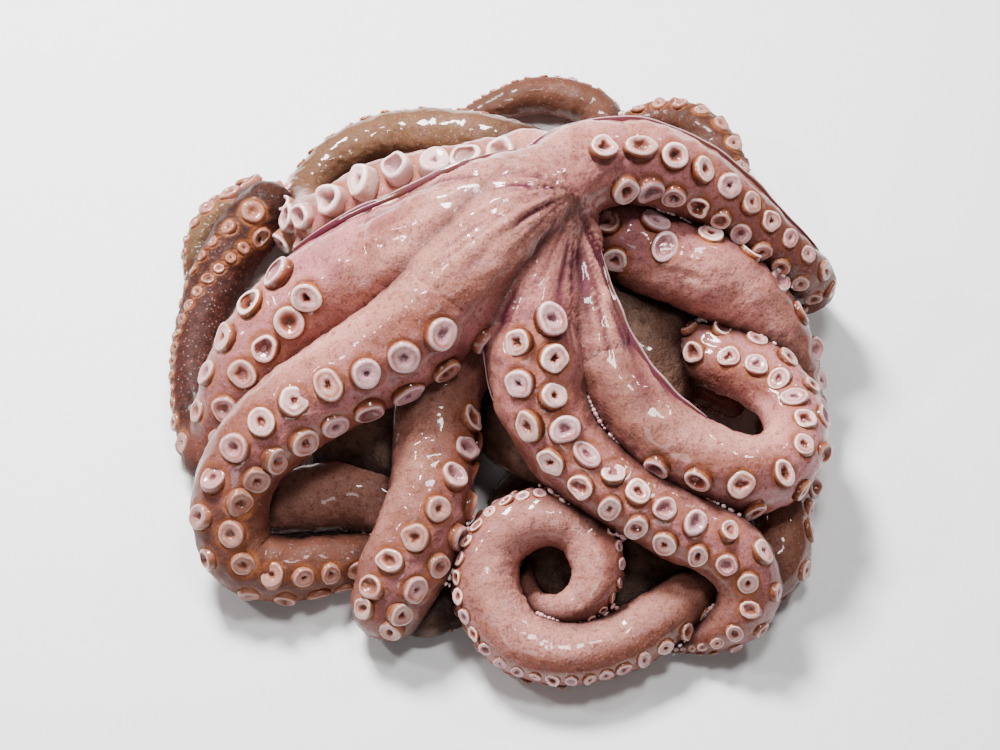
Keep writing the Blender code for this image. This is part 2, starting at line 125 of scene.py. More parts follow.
LONG_ARM = (
    (
        (24, 68, 62, 14, -40), (38, 61, 60, 14.5, -30), (50, 54, 60, 15.5, -10), (64, 48, 58, 16.4, 42),
        (80, 43, 55, 16.8, 92), (97, 32, 45, 16.4, 100), (110, 15, 31, 15, 100), (116, -5, 17, 13.5, 100),
        (116, -22, 12.8, 12.8, 100), (114, -40, 12.5, 12.5, 100), (112, -58, 12.4, 12.4, 100),
        (112, -71, 12.3, 12.3, 100), (107, -81, 10.5, 10.5, 100), (95, -84, 7, 7, 100), (87, -84, 6.6, 6.4, 95),
        (78, -88, 11, 10, 92), (64, -98, 12.5, 11.6, 85), (46, -108, 13, 12, 85), (26, -112, 13.5, 12.2, 85),
        (6, -106, 15, 12.6, 85),
        (-5, -91, 20, 12.8, 85), (-5, -73, 26, 12.4, 85), (4, -61, 31, 11.8, 85), (19, -56.5, 33, 11.2, 85),
        (33, -62, 31, 10.8, 88), (39.5, -77, 27, 10.2, 90), (35, -89, 22, 8.8, 92), (25, -94.5, 18, 7, 92),
        (15, -92, 14, 5.2, 92), (10.5, -83, 12, 3.8, 92), (13, -74.5, 11.5, 3.1, 92), (20, -71.5, 11.5, 2.6, 92),
        (25, -76, 11.5, 2.2, 92), (22.5, -82, 11, 2, 92),
    ),
)
BACK_RIGHT_ARM = (
    (
        (14, 68, 88, 18, -10), (28, 80, 91, 17, -10), (42, 84.5, 90, 16.4, -10), (58, 84.5, 86, 15.6, -8),
        (76, 78, 78, 14.2, -5), (92, 67.5, 68, 12.6, 0), (107, 54, 56, 11.4, 5), (119, 42.5, 43, 10.8, 10),
        (124, 37, 30, 10.2, 0), (120, 35, 16, 9.8, -30), (110, 46, 13, 9.8, -60), (99, 60, 16, 10, -75),
        (92, 73, 21, 10.4, -80), (88, 87, 23, 10.5, -80), (80, 97.5, 22, 10.2, -84), (68, 101.5, 18, 9.6, -88),
        (55, 99, 14, 8.6, -90), (45, 92, 10, 7, -90), (37, 83, 7.5, 4, -90),
    ),
)
BACK_LEFT_ARM = (
    (
        (26, 80, 76, 15, 0), (8, 81, 72, 15.5, 0), (-12, 76, 65, 16, -10), (-32, 73, 58, 16, -12),
        (-50, 68, 50, 15.5, -8), (-66, 61, 39, 14, 0), (-75, 60, 26, 12, 30), (-78, 68, 14, 10.8, 90),
        (-73, 78, 12, 10.4, 118), (-63, 87, 14, 10.8, 124), (-47, 94, 19, 11.2, 126), (-30, 96, 24, 11.4, 126),
        (-12, 95, 27, 11.2, 128), (6, 91, 27, 10.8, 134), (22, 87, 24, 10.2, 150), (37, 88, 17, 9.6, 185),
        (43, 96, 12, 9.2, 222), (39, 105, 10, 8.8, 242), (27, 111, 11, 8.5, 244), (13, 112, 11, 8, 244),
        (0, 108, 10, 7.2, 246), (-11, 103, 8, 5.7, 250), (-20, 97, 6, 3.8, 252),
    ),
)
Arm = namedtuple("Arm", "name lengths first_sucker crown_reach tone dusk moss", defaults=(((0, 0.0),),))
# How far along an arm its suckers start and how much of it the crown's skin covers, both in mm, then how
# pink, how dark and how olive its skin is, each as pairs of the distance along it and the value
ARMS = (
    Arm(
        "left", LEFT_ARM, 84.0, 78.0, ((0, 0.75), (120, 0.6), (185, 0.0)),
        ((110, 0.0), (160, 0.8), (185, 1.2), (290, 1.2), (310, 1.0)), ((300, 0.0), (322, 0.9)),
    ),
    Arm(
        "front_left", FRONT_LEFT_ARM, 52.0, 72.0, ((0, 0.55), (90, 0.55), (110, 0.7), (200, 0.1)),
        ((60, 0.1), (110, 0.05), (145, 0.4), (175, 0.95), (400, 1.0)),
    ),
    Arm(
        "front", FRONT_ARM, 84.0, 60.0, ((0, 0.4), (180, 0.4), (200, 1.0)),
        ((0, 0.6), (90, 0.45), (180, 0.6), (205, 0.0)), ((40, 0.35), (120, 0.0), (185, 0.0), (200, 0.72)),
    ),
    Arm("middle", MIDDLE_ARM, 42.0, 55.0, ((0, 0.75), (200, 0.6)), ((60, 0.0), (150, 0.2), (210, 0.65))),
    Arm(
        "right", RIGHT_ARM, 98.0, 75.0, ((0, 0.1), (75, 0.2), (115, 0.95), (220, 0.95)),
        ((0, 0.35), (75, 0.25), (110, 0.0), (200, 0.15), (230, 0.7)),
        ((0, 0.0), (30, 0.3), (70, 0.25), (125, 0.12), (150, 0.0)),
    ),
    Arm(
        "long", LONG_ARM, 12.0, 14.0, ((0, 1.0), (90, 1.0), (150, 0.3), (300, 0.85)),
        ((86, 0.0), (128, 0.7), (230, 0.5), (290, 0.2), (420, 0.2), (480, 1.0)),
        ((0, 0.22), (30, 0.12), (90, 0.08), (200, 0.3), (290, 0.12)),
    ),
    Arm(
        "back_right", BACK_RIGHT_ARM, 26.0, 50.0, ((0, 0.9), (70, 0.5), (120, 0.1)),
        ((55, 0.0), (95, 0.45), (125, 0.8), (150, 1.1)),
    ),
    Arm(
        "back_left", BACK_LEFT_ARM, 12.0, 30.0, ((0, 0.8), (100, 0.8), (130, 0.0)),
        ((90, 0.0), (140, 0.45), (230, 0.6), (290, 1.0)), ((120, 0.0), (145, 0.8), (240, 0.7), (280, 0.1)),
    ),
)
# Steps in mm at which the arms are laid to find what rests on what, and for the crown
COARSE_STEP = 6.0
CROWN_STEP = 3.0
# Random seeds of the suckers and of the pale beads of water that paint highlights
SUCKER_SEED = 11
BEAD_SEED = 5
# Rings and sides of a body lump, of the root of the arms and of a bead
BODY_GRID = (90, 160)
ROOT_GRID = (24, 36)
BEAD_GRID = (6, 8)
# Gaps in mm within which painted shade darkens the skin of an arm and of the body
ARM_CREASE_SHADE = 9.5
BODY_CREASE_SHADE = 14.0
# Thin webs of skin: the arm's number, the way round it as for the suckers, where along it they run, and how
# tall, in mm
WEBS = (
    (6, 88.0, 2.0, 128.0, 1.5), (0, -88.0, 2.0, 92.0, 1.2), (4, 80.0, 20.0, 108.0, 1.9),
    (4, -88.0, 22.0, 96.0, 1.9), (3, 88.0, 14.0, 84.0, 2.2), (3, -88.0, 16.0, 70.0, 2.0),
)
# Section of a web in mm from foot to edge and back: a share of its height, or how deep it is sunk, and how
# far to its side
WEB_SECTION = np.array([
    (-1.6, 1.1), (-0.8, 1.0), (0.0, 0.85), (0.35, 0.62), (0.7, 0.45), (0.92, 0.30), (1.0, 0.0), (0.92, -0.30),
    (0.7, -0.45), (0.35, -0.62), (0.0, -0.85), (-0.8, -1.0), (-1.6, -1.1),
])
WEB_THICK = 1.25

# The body bag under the arms and its skirt behind, in front and at the left: middles, then half sizes, in mm; the front
# skirt is dark skin laid in a gap between the arms as painted shade
BODY_LUMPS = {
    "body_bag": ((26, 15.5, 27), (55, 81.5, 27.5)),
    "body_skirt_back": ((6, 62, 13), (76, 44, 14)),
    "body_skirt_front_shade": ((44, -72, 9), (50, 38, 10)),
    "body_skirt_left": ((-42, -42, 14), (30, 26, 18)),
    "body_fold": ((-27, -106, 8), (15, 13, 9)),
}
ROOT_LUMP = ((8, 27, 52), (34, 37, 42))
# The body's colours: its own grey-brown, kept darker than the arms as painted shade in the gaps under them
BODY_DARK = (0.085, 0.040, 0.026)
BODY_PALE = (0.26, 0.145, 0.100)
# Where the folds of the crown meet, how far they run, and the purple places, partly painted shade, each with its size,
# in mm
CROWN_SPOT = (29, 65, 90)
FOLD_REACH = 105.0
FOLD_LEAN = 0.25
VIOLET_SPOTS = (
    (34, 49, 82, 21), (40, 30, 76, 18), (46, 12, 68, 15), (26, 14, 74, 13), (60, -4, 60, 14), (16, 62, 90, 11),
)

# Height in mm of the ridges across an arm, for its number, as pairs along it, and how far apart they are
RIDGED = {
    0: ((190, 0.0), (205, 0.10), (300, 0.10), (325, 0.42), (380, 0.3)), 6: ((140, 0.0), (165, 0.22), (260, 0.2)),
}
RIDGE_STEP = 4.4
# Rings of points in the round end of an arm
END_RINGS = 8
# In mm: how far the crown's skin stands off an arm's root and sinks into it at its far end, and how far the
# arm's own skin is sunk under it; then how much stronger its lumps are
CROWN_SWELL = 1.1
CROWN_DIVE = 7.0
ROOT_SINK = 1.8
CROWN_SCALE = 1.17
# How many times the crown's skin is softened
CROWN_SOFTEN = 26

# Pale beads of water, painted highlights along the edges: how far round from the viewer's side, the steps along an arm
# in mm, and how many stay
BEAD_TURN = 78.0
BEAD_STEP = 2.3
BEAD_SHARE = 0.8

FLAT_OF_SUCKER_SIDE = 0.88
# Suckers grow with the arm, but slowly on its thick part: their widest in mm, how fast, and their spacing
SUCKER_WIDEST = 13.0
SUCKER_GROWTH_HALF_WIDTH = 12.0
SUCKER_GROWTH_POWER = 1.6
SUCKER_GAP = 0.64
SUCKER_ROW_TURN = 30.0
# Where an arm's suckers are wider or taller than that, or its rows nearer each other: pairs of mm and value
SUCKER_SHARES = {
    "left": ((180, 1.0), (196, 0.6), (262, 0.6), (285, 1.35), (318, 1.35), (335, 0.65)),
    "long": ((255, 1.0), (285, 0.66)), "back_left": ((120, 1.2), (150, 0.75)), "front": ((110, 1.0), (150, 0.9)),
}
SUCKER_TURNS = {"middle": ((0, 19.0), (100, 23.0), (160, 30.0))}
SUCKER_TALL = {"back_left": ((120, 2.3), (140, 1.0))}
SUCKER_GAPS = {
    "long": ((255, 0.64), (285, 0.46)), "front": ((100, 0.60), (135, 0.50)), "back_left": ((120, 0.56), (150, 0.64)),
}
# How much paler than the rest an arm's suckers are
PALE_SUCKERS = {"back_left": 0.5, "back_right": 0.1}
# Lengths whose suckers go on round their round end
SUCKERS_ROUND_END = {("front", 0)}
# Lengths that lie on the body, which paints no shade on them
ON_BODY = {("front", 1)}
# A sucker from its foot over its rim to its pit, as shares of its width: how far out and how far up, then
# how far along that way, which picks its colour
SUCKER_PROFILE = np.array([
    (0.56, -0.16, 0.00), (0.54, -0.04, 0.08), (0.52, 0.05, 0.16), (0.508, 0.115, 0.24), (0.485, 0.165, 0.32),
    (0.445, 0.198, 0.40), (0.39, 0.208, 0.48), (0.33, 0.198, 0.55), (0.27, 0.18, 0.62), (0.215, 0.155, 0.69),
    (0.17, 0.115, 0.76), (0.135, 0.06, 0.83), (0.10, 0.01, 0.90), (0.055, -0.02, 0.96),
])
SMALL_SUCKER_PROFILE = SUCKER_PROFILE[[0, 2, 4, 6, 9, 12]]
# Widths in mm up to which a sucker is small, and the sides of a large and a small one
SMALL_SUCKER = 8.0
SUCKER_SIDES = 24
SMALL_SUCKER_SIDES = 10
# How far from its middle the foot of a sucker is, as a share of its width
SUCKER_FOOT = 0.56
# Gap in mm that counts as far away, and how many steps of an arm are measured at once
FAR_AWAY = 60.0
STEPS_AT_ONCE = 12


def length(name, description, default):
    """A length that the panel shows."""
    return FloatProperty(name=name, description=description, default=default, unit="LENGTH")


def colour(name, description, *default):
    """A colour that the panel shows."""
    return FloatVectorProperty(name=name, description=description, subtype="COLOR", size=3, default=default)


class OctopusSizes(bpy.types.PropertyGroup):
    """Sizes that a user would change."""

    ring_step: length("Ring step", "Distance between rings of skin", 0.0011)
    sides: IntProperty(name="Sides", description="Faces round an arm", default=80, min=12)
    mound: length("Mound", "Height of the skin swelling under a sucker", 0.0009)
    lump: length("Lump", "Height of the skin's soft lumps", 0.00075)
    wrinkle: length("Wrinkle", "Height of the fine wrinkles", 0.00006)
    fold: length("Fold", "Height of the folds of the crown", 0.00095)
    rib: length("Rib", "Height of the wrinkles across an arm", 0.00017)
    bead: length("Beads", "Height of the wet beads along a crease", 0.00050)
    rough: length("Rough", "Height of the lumps of the dark skin", 0.00035)
    crown_voxel: length("Crown grid", "Grid of the crown's skin", 0.0014)
    with_floor: BoolProperty(name="Floor", description="Lay the pale floor", default=True)


class OctopusColours(bpy.types.PropertyGroup):
    """Colours that a user would change."""

    tan: colour("Outer skin", "Tan skin of the outer side", 0.255, 0.098, 0.060)
    olive: colour("Olive patches", "Darker patches of outer skin", 0.17, 0.085, 0.036)
    cream: colour("Pale patches", "Pale patches near the crown", 0.64, 0.27, 0.215)
    pink: colour("Pink skin", "Skin between the suckers", 0.38, 0.125, 0.145)
    # Also the painted shade on the skin that faces the floor
    brown: colour("Brown skin", "Reddish speckle of the skin", 0.105, 0.020, 0.011)
    umber: colour("Dark patches", "Redder patches of the dark skin", 0.085, 0.026, 0.017)
    moss: colour("Olive skin", "Olive-brown skin of the hidden lengths", 0.105, 0.060, 0.024)
    # Partly the skin's own orange-brown and partly painted shade at an arm's edges
    rust: colour("Edges", "Orange-brown skin at an arm's edges", 0.15, 0.032, 0.014)
    # Partly the crown's own purple skin and partly painted shade in its valleys and fold furrows
    purple: colour("Purple skin", "Skin of the crown's valleys", 0.085, 0.012, 0.028)
    dusk: colour("Dark skin", "Brown skin of the outer lengths", 0.050, 0.020, 0.010)
    # Also the painted shade in the creases between arms, in the crown's folds and on the body where arms lie near
    fold: colour("Folds", "Skin deep in the folds", 0.012, 0.004, 0.004)
    groove: colour("Groove", "Ring round the foot of a sucker", 0.060, 0.012, 0.005)
    halo: colour("Halo", "Orange-brown skin round a sucker", 0.26, 0.080, 0.024)
    # Also the painted white glints on the skin and the pale colour of the highlight beads
    rim: colour("Sucker rim", "Pale rim of a sucker", 0.95, 0.69, 0.66)
    lilac: colour("Lilac rim", "Cooler rim of some suckers", 0.52, 0.30, 0.38)
    # Also the pale colour of the highlight beads
    petal: colour("Sucker face", "Pink face of a sucker round its pit", 0.60, 0.29, 0.29)
    dish: colour("Sucker dish", "Inside of a sucker", 0.34, 0.090, 0.055)
    floor: colour("Floor", "Pale floor", 0.80, 0.80, 0.80)


def unit(v):
    """The same vectors at length one."""
    return v / (np.linalg.norm(v, axis=-1, keepdims=True) + 1e-12)


def view_axes():
    """Right, up and towards the eye in the front view, and the eye itself, in mm."""
    tilt = np.radians(VIEW_ELEVATION)
    right = np.array([1.0, 0.0, 0.0])
    up = np.array([0.0, np.sin(tilt), np.cos(tilt)])
    toward = np.array([0.0, -np.cos(tilt), np.sin(tilt)])
    return right, up, toward, toward * VIEW_DISTANCE


def spot(across, up_by, height):
    """The point at this height over the counter that the viewer sees at this place in the view."""
    right, up, _toward, eye = view_axes()
    ray = right * across + up * up_by - eye
    return eye + ray * (height - eye[2]) / ray[2]


def through(rows, count):
    """A Catmull-Rom curve through rows of numbers, evenly walked by the root of the chord."""
    rows = np.asarray(rows, float)
    chord = np.sqrt(np.linalg.norm(np.diff(rows[:, :3], axis=0), axis=1))
    knots = np.concatenate([[0.0], np.cumsum(chord)])
    rows = np.vstack([2 * rows[0] - rows[1], rows, 2 * rows[-1] - rows[-2]])
    knots = np.concatenate([[2 * knots[0] - knots[1]], knots, [2 * knots[-1] - knots[-2]]])
    at = np.linspace(knots[1], knots[-2], count)
    k = np.clip(np.searchsorted(knots, at, side="right") - 1, 1, len(knots) - 3)
    t = [knots[k + i][:, None] for i in (-1, 0, 1, 2)]
    p = [rows[k + i] for i in (-1, 0, 1, 2)]
    at = at[:, None]

    def blend(a, b, ta, tb):
        return ((tb - at) * a + (at - ta) * b) / (tb - ta)

    first = [blend(p[i], p[i + 1], t[i], t[i + 1]) for i in range(3)]
    second = [blend(first[i], first[i + 1], t[i], t[i + 2]) for i in range(2)]
    return blend(second[0], second[1], t[1], t[2])


def course(rows, step):
    """The arm's middle, half width and turn at even steps along it, in mm, with the distance walked."""
    rows = np.array([(*spot(a, u, h), half, turn) for a, u, h, half, turn in rows])
    fine = through(rows, 1200)
    fine[:, :3] += HEAP_SHIFT
    length = np.linalg.norm(np.diff(fine[:, :3], axis=0), axis=1)
    walked = np.concatenate([[0.0], np.cumsum(length)])
    at = np.linspace(0.0, walked[-1], max(8, int(round(walked[-1] / step)) + 1))
    return np.stack([np.interp(at, walked, fine[:, i]) for i in range(fine.shape[1])], 1), at


def frames(line, turn=None):
    """At each step: the way on, the way out at this turn from the viewer's side, and the way across.

    Without a turn it is the arm's own, which is where its suckers are.
    """
    eye = view_axes()[3] + HEAP_SHIFT
    way = unit(np.gradient(line[:, :3], axis=0))
    face = unit(eye - line[:, :3])
    face = unit(face - (face * way).sum(1, keepdims=True) * way)
    left = np.cross(face, way)
    turn = np.radians(line[:, 4:5] if turn is None else turn)
    out = np.cos(turn) * face + np.sin(turn) * left
    return way, out, np.cross(way, out)


def section(angle):
    """How far the skin lies from the middle, as a share of half the width: flatter where the suckers are."""
    facing = np.clip(np.cos(angle), 0.0, 1.0)
    return 1.0 - (1.0 - FLAT_OF_SUCKER_SIDE) * facing**2


def lattice(cells, seed):
    """A fixed random number from -1 to 1 for each whole-number cell."""
    cells = cells.astype(np.int64)
    h = cells[..., 0] * 374761393 + cells[..., 1] * 668265263 + cells[..., 2] * 2246822519 + seed * 3266489917
    h = (h ^ (h >> 13)) & 0xFFFFFFFF
    h = (h * 1274126177) & 0xFFFFFFFF
    h = h ^ (h >> 16)
    return h / 0xFFFFFFFF * 2.0 - 1.0


def noise(points, size, seed):
    """Smooth random lumps of this size: lattice values mixed by a smooth step along each axis."""
    q = points / size
    base = np.floor(q)
    f = q - base
    f = f * f * f * (f * (f * 6 - 15) + 10)
    total = np.zeros(len(points))
    for corner in range(8):
        bits = np.array([(corner >> axis) & 1 for axis in range(3)])
        weight = np.prod(np.where(bits, f, 1.0 - f), axis=1)
        total += weight * lattice(base + bits, seed)
    return total


def relief(points, sizes):
    """Height of the skin in mm: three sizes of soft lumps and two of sharp-edged wrinkles."""
    lump = noise(points, 10.0, 1) + 0.6 * noise(points, 5.2, 2) + 0.34 * noise(points, 2.9, 5)
    crease = 1.0 - 2.0 * np.abs(noise(points, 3.4, 3))
    fine = 1.0 - 2.0 * np.abs(noise(points, 1.9, 4))
    return sizes.lump / MM * lump * 0.7 + sizes.wrinkle / MM * (crease + 0.6 * fine)


def folds(points, sizes):
    """Folds that run out of the crown like spokes: height in mm, furrow, ridge, and how near the crown.

    The bearing about the crown's middle goes round a circle in the noise, and the distance from it moves slowly
    past, so a fold keeps its bearing as it runs outwards.
    """
    away = points - spot(*CROWN_SPOT) - HEAP_SHIFT
    reach = np.linalg.norm(away, axis=1)
    bearing = np.arctan2(away[:, 1], away[:, 0])
    zone = np.clip(reach / 9.0, 0, 1) * np.clip((FOLD_REACH - reach) / 55.0, 0, 1)
    zone = zone * (0.30 + 0.70 * np.clip(0.5 - 1.4 * np.sin(bearing + FOLD_LEAN), 0, 1))
    total = np.zeros(len(points))
    for round_by, weight, seed in ((8.0, 1.0, 21), (17.0, 0.75, 22), (34.0, 0.4, 23)):
        fan = np.stack([np.cos(bearing) * round_by, np.sin(bearing) * round_by, reach / 24.0], 1)
        total += weight * (1.0 - 2.0 * np.abs(noise(fan, 1.0, seed)))
    total = total / 1.4
    ridge = np.clip(1.6 * total - 0.5, 0, 1) * zone
    return sizes.fold / MM * total * zone, np.clip(0.35 - total, 0, 1) * zone, ridge, zone


def violet(points):
    """How purple the skin is, partly its own colour and partly painted shade: most in the valley between the middle arm
    and the right one.
    """
    total = np.zeros(len(points))
    for across, up_by, height, size in VIOLET_SPOTS:
        away = np.linalg.norm(points - spot(across, up_by, height) - HEAP_SHIFT, axis=1)
        total = np.maximum(total, np.exp(-((away / size) ** 2)))
    return total


def lengths_of(arm, step):
    """Each length of this arm at this step: its place in it, its line, the distance along it and what is before."""
    before = 0.0
    for part, rows in enumerate(arm.lengths):
        line, at = course(rows, step)
        yield part, line, at, before
        before += at[-1]


def all_courses():
    """Every length of every arm: the arm's number, the line and the distance along the arm."""
    return [
        (number, line, at + before)
        for number, arm in enumerate(ARMS) for _part, line, at, before in lengths_of(arm, COARSE_STEP)
    ]


def nearest_other(points, own, own_at, courses, own_far):
    """Distance in mm from each point to the skin of any other arm, or of the same arm further along."""
    gap = np.full(len(points), FAR_AWAY)
    for number, line, at in courses:
        for k in range(0, len(line), STEPS_AT_ONCE):
            piece = slice(k, k + STEPS_AT_ONCE)
            offset = points[:, None, :] - line[None, piece, :3]
            near = np.sqrt((offset**2).sum(2)) - line[None, piece, 3]
            if number == own:
                near = np.where(np.abs(own_at[:, None] - at[None, piece]) < own_far[:, None], FAR_AWAY, near)
            gap = np.minimum(gap, near.min(1))
    return gap


def lump_gap(points):
    """Rough distance in mm from each point to the nearest body lump."""
    gap = np.full(len(points), FAR_AWAY)
    for middle, half in (*BODY_LUMPS.values(), ROOT_LUMP):
        q = (points - middle - HEAP_SHIFT) / half
        gap = np.minimum(gap, (np.linalg.norm(q, axis=1) - 1.0) * min(half))
    return gap


def along_arm(pairs, walked):
    """The value at these distances along an arm, from pairs of a distance and the value there."""
    at, value = np.array(pairs, float).T
    return np.interp(walked, at, value)


def skin_tones(arm, walked):
    """How pink, how dark and how olive an arm's skin is at these distances along it."""
    return {key: along_arm(getattr(arm, key), walked) for key in ("tone", "dusk", "moss")}


def fade_in(share):
    """How far the sucker side shows at this share of the crown's reach."""
    return 0.35 + 0.65 * np.clip(share, 0.0, 1.0) ** 1.5


def tube_faces(rings, sides):
    """Quads between closed rings of points, and fans to two end points that follow the last ring."""
    j = np.arange(sides)
    k = (j + 1) % sides
    i = np.arange(rings - 1)[:, None] * sides
    quads = np.stack([i + j, i + k, i + sides + k, i + sides + j], 2).reshape(-1, 4)
    last = (rings - 1) * sides
    start = np.stack([np.full(sides, rings * sides), k, j], 1)
    end = np.stack([np.full(sides, rings * sides + 1), last + j, last + k], 1)
    return quads, np.vstack([start, end])


def for_copies(faces, count, per):
    """The faces of one shape for each of its copies, which have this many points each."""
    return (faces + np.arange(count)[:, None, None] * per).reshape(-1, faces.shape[1])


def joined(shapes):
    """Several shapes as one: their points, quads, triangles and masks."""
    points, quads, triangles, masks = zip(*shapes)
    base = np.cumsum([0, *map(len, points)])
    return (
        np.vstack(points), np.vstack([one + add for one, add in zip(quads, base)]),
        np.vstack([one + add for one, add in zip(triangles, base)]),
        {key: np.concatenate([one[key] for one in masks]) for key in masks[0]},
    )


def faces_outward(points, quads, triangles):
    """Turns every face over when the closed shape's volume comes out negative."""
    corners = np.vstack([quads[:, [0, 1, 2]], quads[:, [0, 2, 3]], triangles])
    a, b, c = (points[corners[:, i]] for i in range(3))
    if (a * np.cross(b, c)).sum() < 0:
        return quads[:, ::-1], triangles[:, ::-1]
    return quads, triangles


def add_masks(mesh, masks):
    """Stores each mask as an attribute of the mesh's points."""
    for key, values in masks.items():
        mesh.attributes.new(key, "FLOAT", "POINT").data.foreach_set("value", np.asarray(values, np.float32))


def put_mesh(name, points, quads, triangles, masks):
    """A smooth mesh in metres from points in mm, with its masks as attributes."""
    mesh = bpy.data.meshes.new(name)
    loops = np.concatenate([np.ravel(quads), np.ravel(triangles)]).astype(np.int32)
    starts = [np.arange(len(quads)) * 4, len(quads) * 4 + np.arange(len(triangles)) * 3]
    mesh.vertices.add(len(points))
    mesh.vertices.foreach_set("co", (points * MM).astype(np.float32).ravel())
    mesh.loops.add(len(loops))
    mesh.loops.foreach_set("vertex_index", loops)
    mesh.polygons.add(len(quads) + len(triangles))
    mesh.polygons.foreach_set("loop_start", np.concatenate(starts).astype(np.int32))
    mesh.polygons.foreach_set("use_smooth", np.ones(len(mesh.polygons), bool))
    mesh.update(calc_edges=True)
    add_masks(mesh, masks)
    piece = bpy.data.objects.new(name, mesh)
    bpy.context.scene.collection.objects.link(piece)
    return piece


def dress(piece, material):
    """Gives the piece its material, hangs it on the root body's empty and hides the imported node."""
    piece.data.materials.append(material)
    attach(piece, BODY)
    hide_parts(NODE)


def put_piece(name, points, quads, triangles, masks, material):
    """A closed shape as a dressed piece, with its faces outward."""
    dress(put_mesh(name, points, *faces_outward(points, quads, triangles), masks), material)


def sucker_places(arm, part, line, at, before):
    """Two rows in step with each other's gaps: place, way out, way along, width and distance walked."""
    way, suckers, across = frames(line)
    width = SUCKER_WIDEST * (1.0 - np.exp(-((line[:, 3] / SUCKER_GROWTH_HALF_WIDTH) ** SUCKER_GROWTH_POWER)))
    width = width * along_arm(SUCKER_SHARES.get(arm.name, ((0, 1.0),)), at + before)
    gap = along_arm(SUCKER_GAPS.get(arm.name, ((0, SUCKER_GAP),)), at + before)
    pitch = 0.5 * (width[1:] + width[:-1]) * 0.5 * (gap[1:] + gap[:-1])
    count = np.concatenate([[0.0], np.cumsum(np.diff(at) / pitch)])
    beyond = 0.95 * line[-1, 3] if (arm.name, part) in SUCKERS_ROUND_END else 0.0
    number = np.arange(1, int(count[-1] + beyond / pitch[-1]))
    here = np.interp(number, count, at) + np.clip(number - count[-1], 0.0, None) * pitch[-1]

    def pick(values):
        return np.stack([np.interp(here, at, values[:, i]) for i in range(values.shape[1])], 1)

    row = pick(line)
    turn = along_arm(SUCKER_TURNS.get(arm.name, ((0, SUCKER_ROW_TURN),)), here + before)
    turn = np.radians(turn) * np.where(number % 2, 1.0, -1.0)
    round_end = (np.clip(here - at[-1], 0.0, None) / line[-1, 3])[:, None]
    out = unit(np.cos(turn)[:, None] * pick(suckers) + np.sin(turn)[:, None] * pick(across))
    out, along = (
        unit(np.cos(round_end) * out + np.sin(round_end) * pick(way)),
        unit(np.cos(round_end) * pick(way) - np.sin(round_end) * out),
    )
    place = row[:, :3] + out * (row[:, 3] * section(turn))[:, None]
    far = here + before > arm.first_sucker
    wide = np.interp(here, at, width)
    return place[far], out[far], along[far], wide[far], here[far]


def sucker_marks(points, walked, suckers):
    """How far the skin swells round each sucker, and the groove round its foot.

    Both go by the distance from the sucker's middle as a share of its width: the swelling falls off smoothly,
    dips in a ring round the foot, and sinks under the cup.
    """
    mound = np.zeros(len(points))
    groove = np.zeros(len(points))
    place, _out, _along, wide, here = suckers
    for k in range(len(place)):
        near = np.abs(walked - here[k]) < wide[k] * 1.3
        away = np.linalg.norm(points[near] - place[k], axis=1) / wide[k]
        swell = np.exp(-((away / 0.78) ** 4))
        ring = np.exp(-(((away - SUCKER_FOOT) / 0.075) ** 2))
        under = 1.0 / (1.0 + np.exp((away - 0.44) / 0.03))
        mound[near] = np.maximum(mound[near], swell) - 0.55 * ring - 2.4 * under
        groove[near] = np.maximum(groove[near], np.exp(-(((away - SUCKER_FOOT) / 0.09) ** 2)))
    return mound, groove


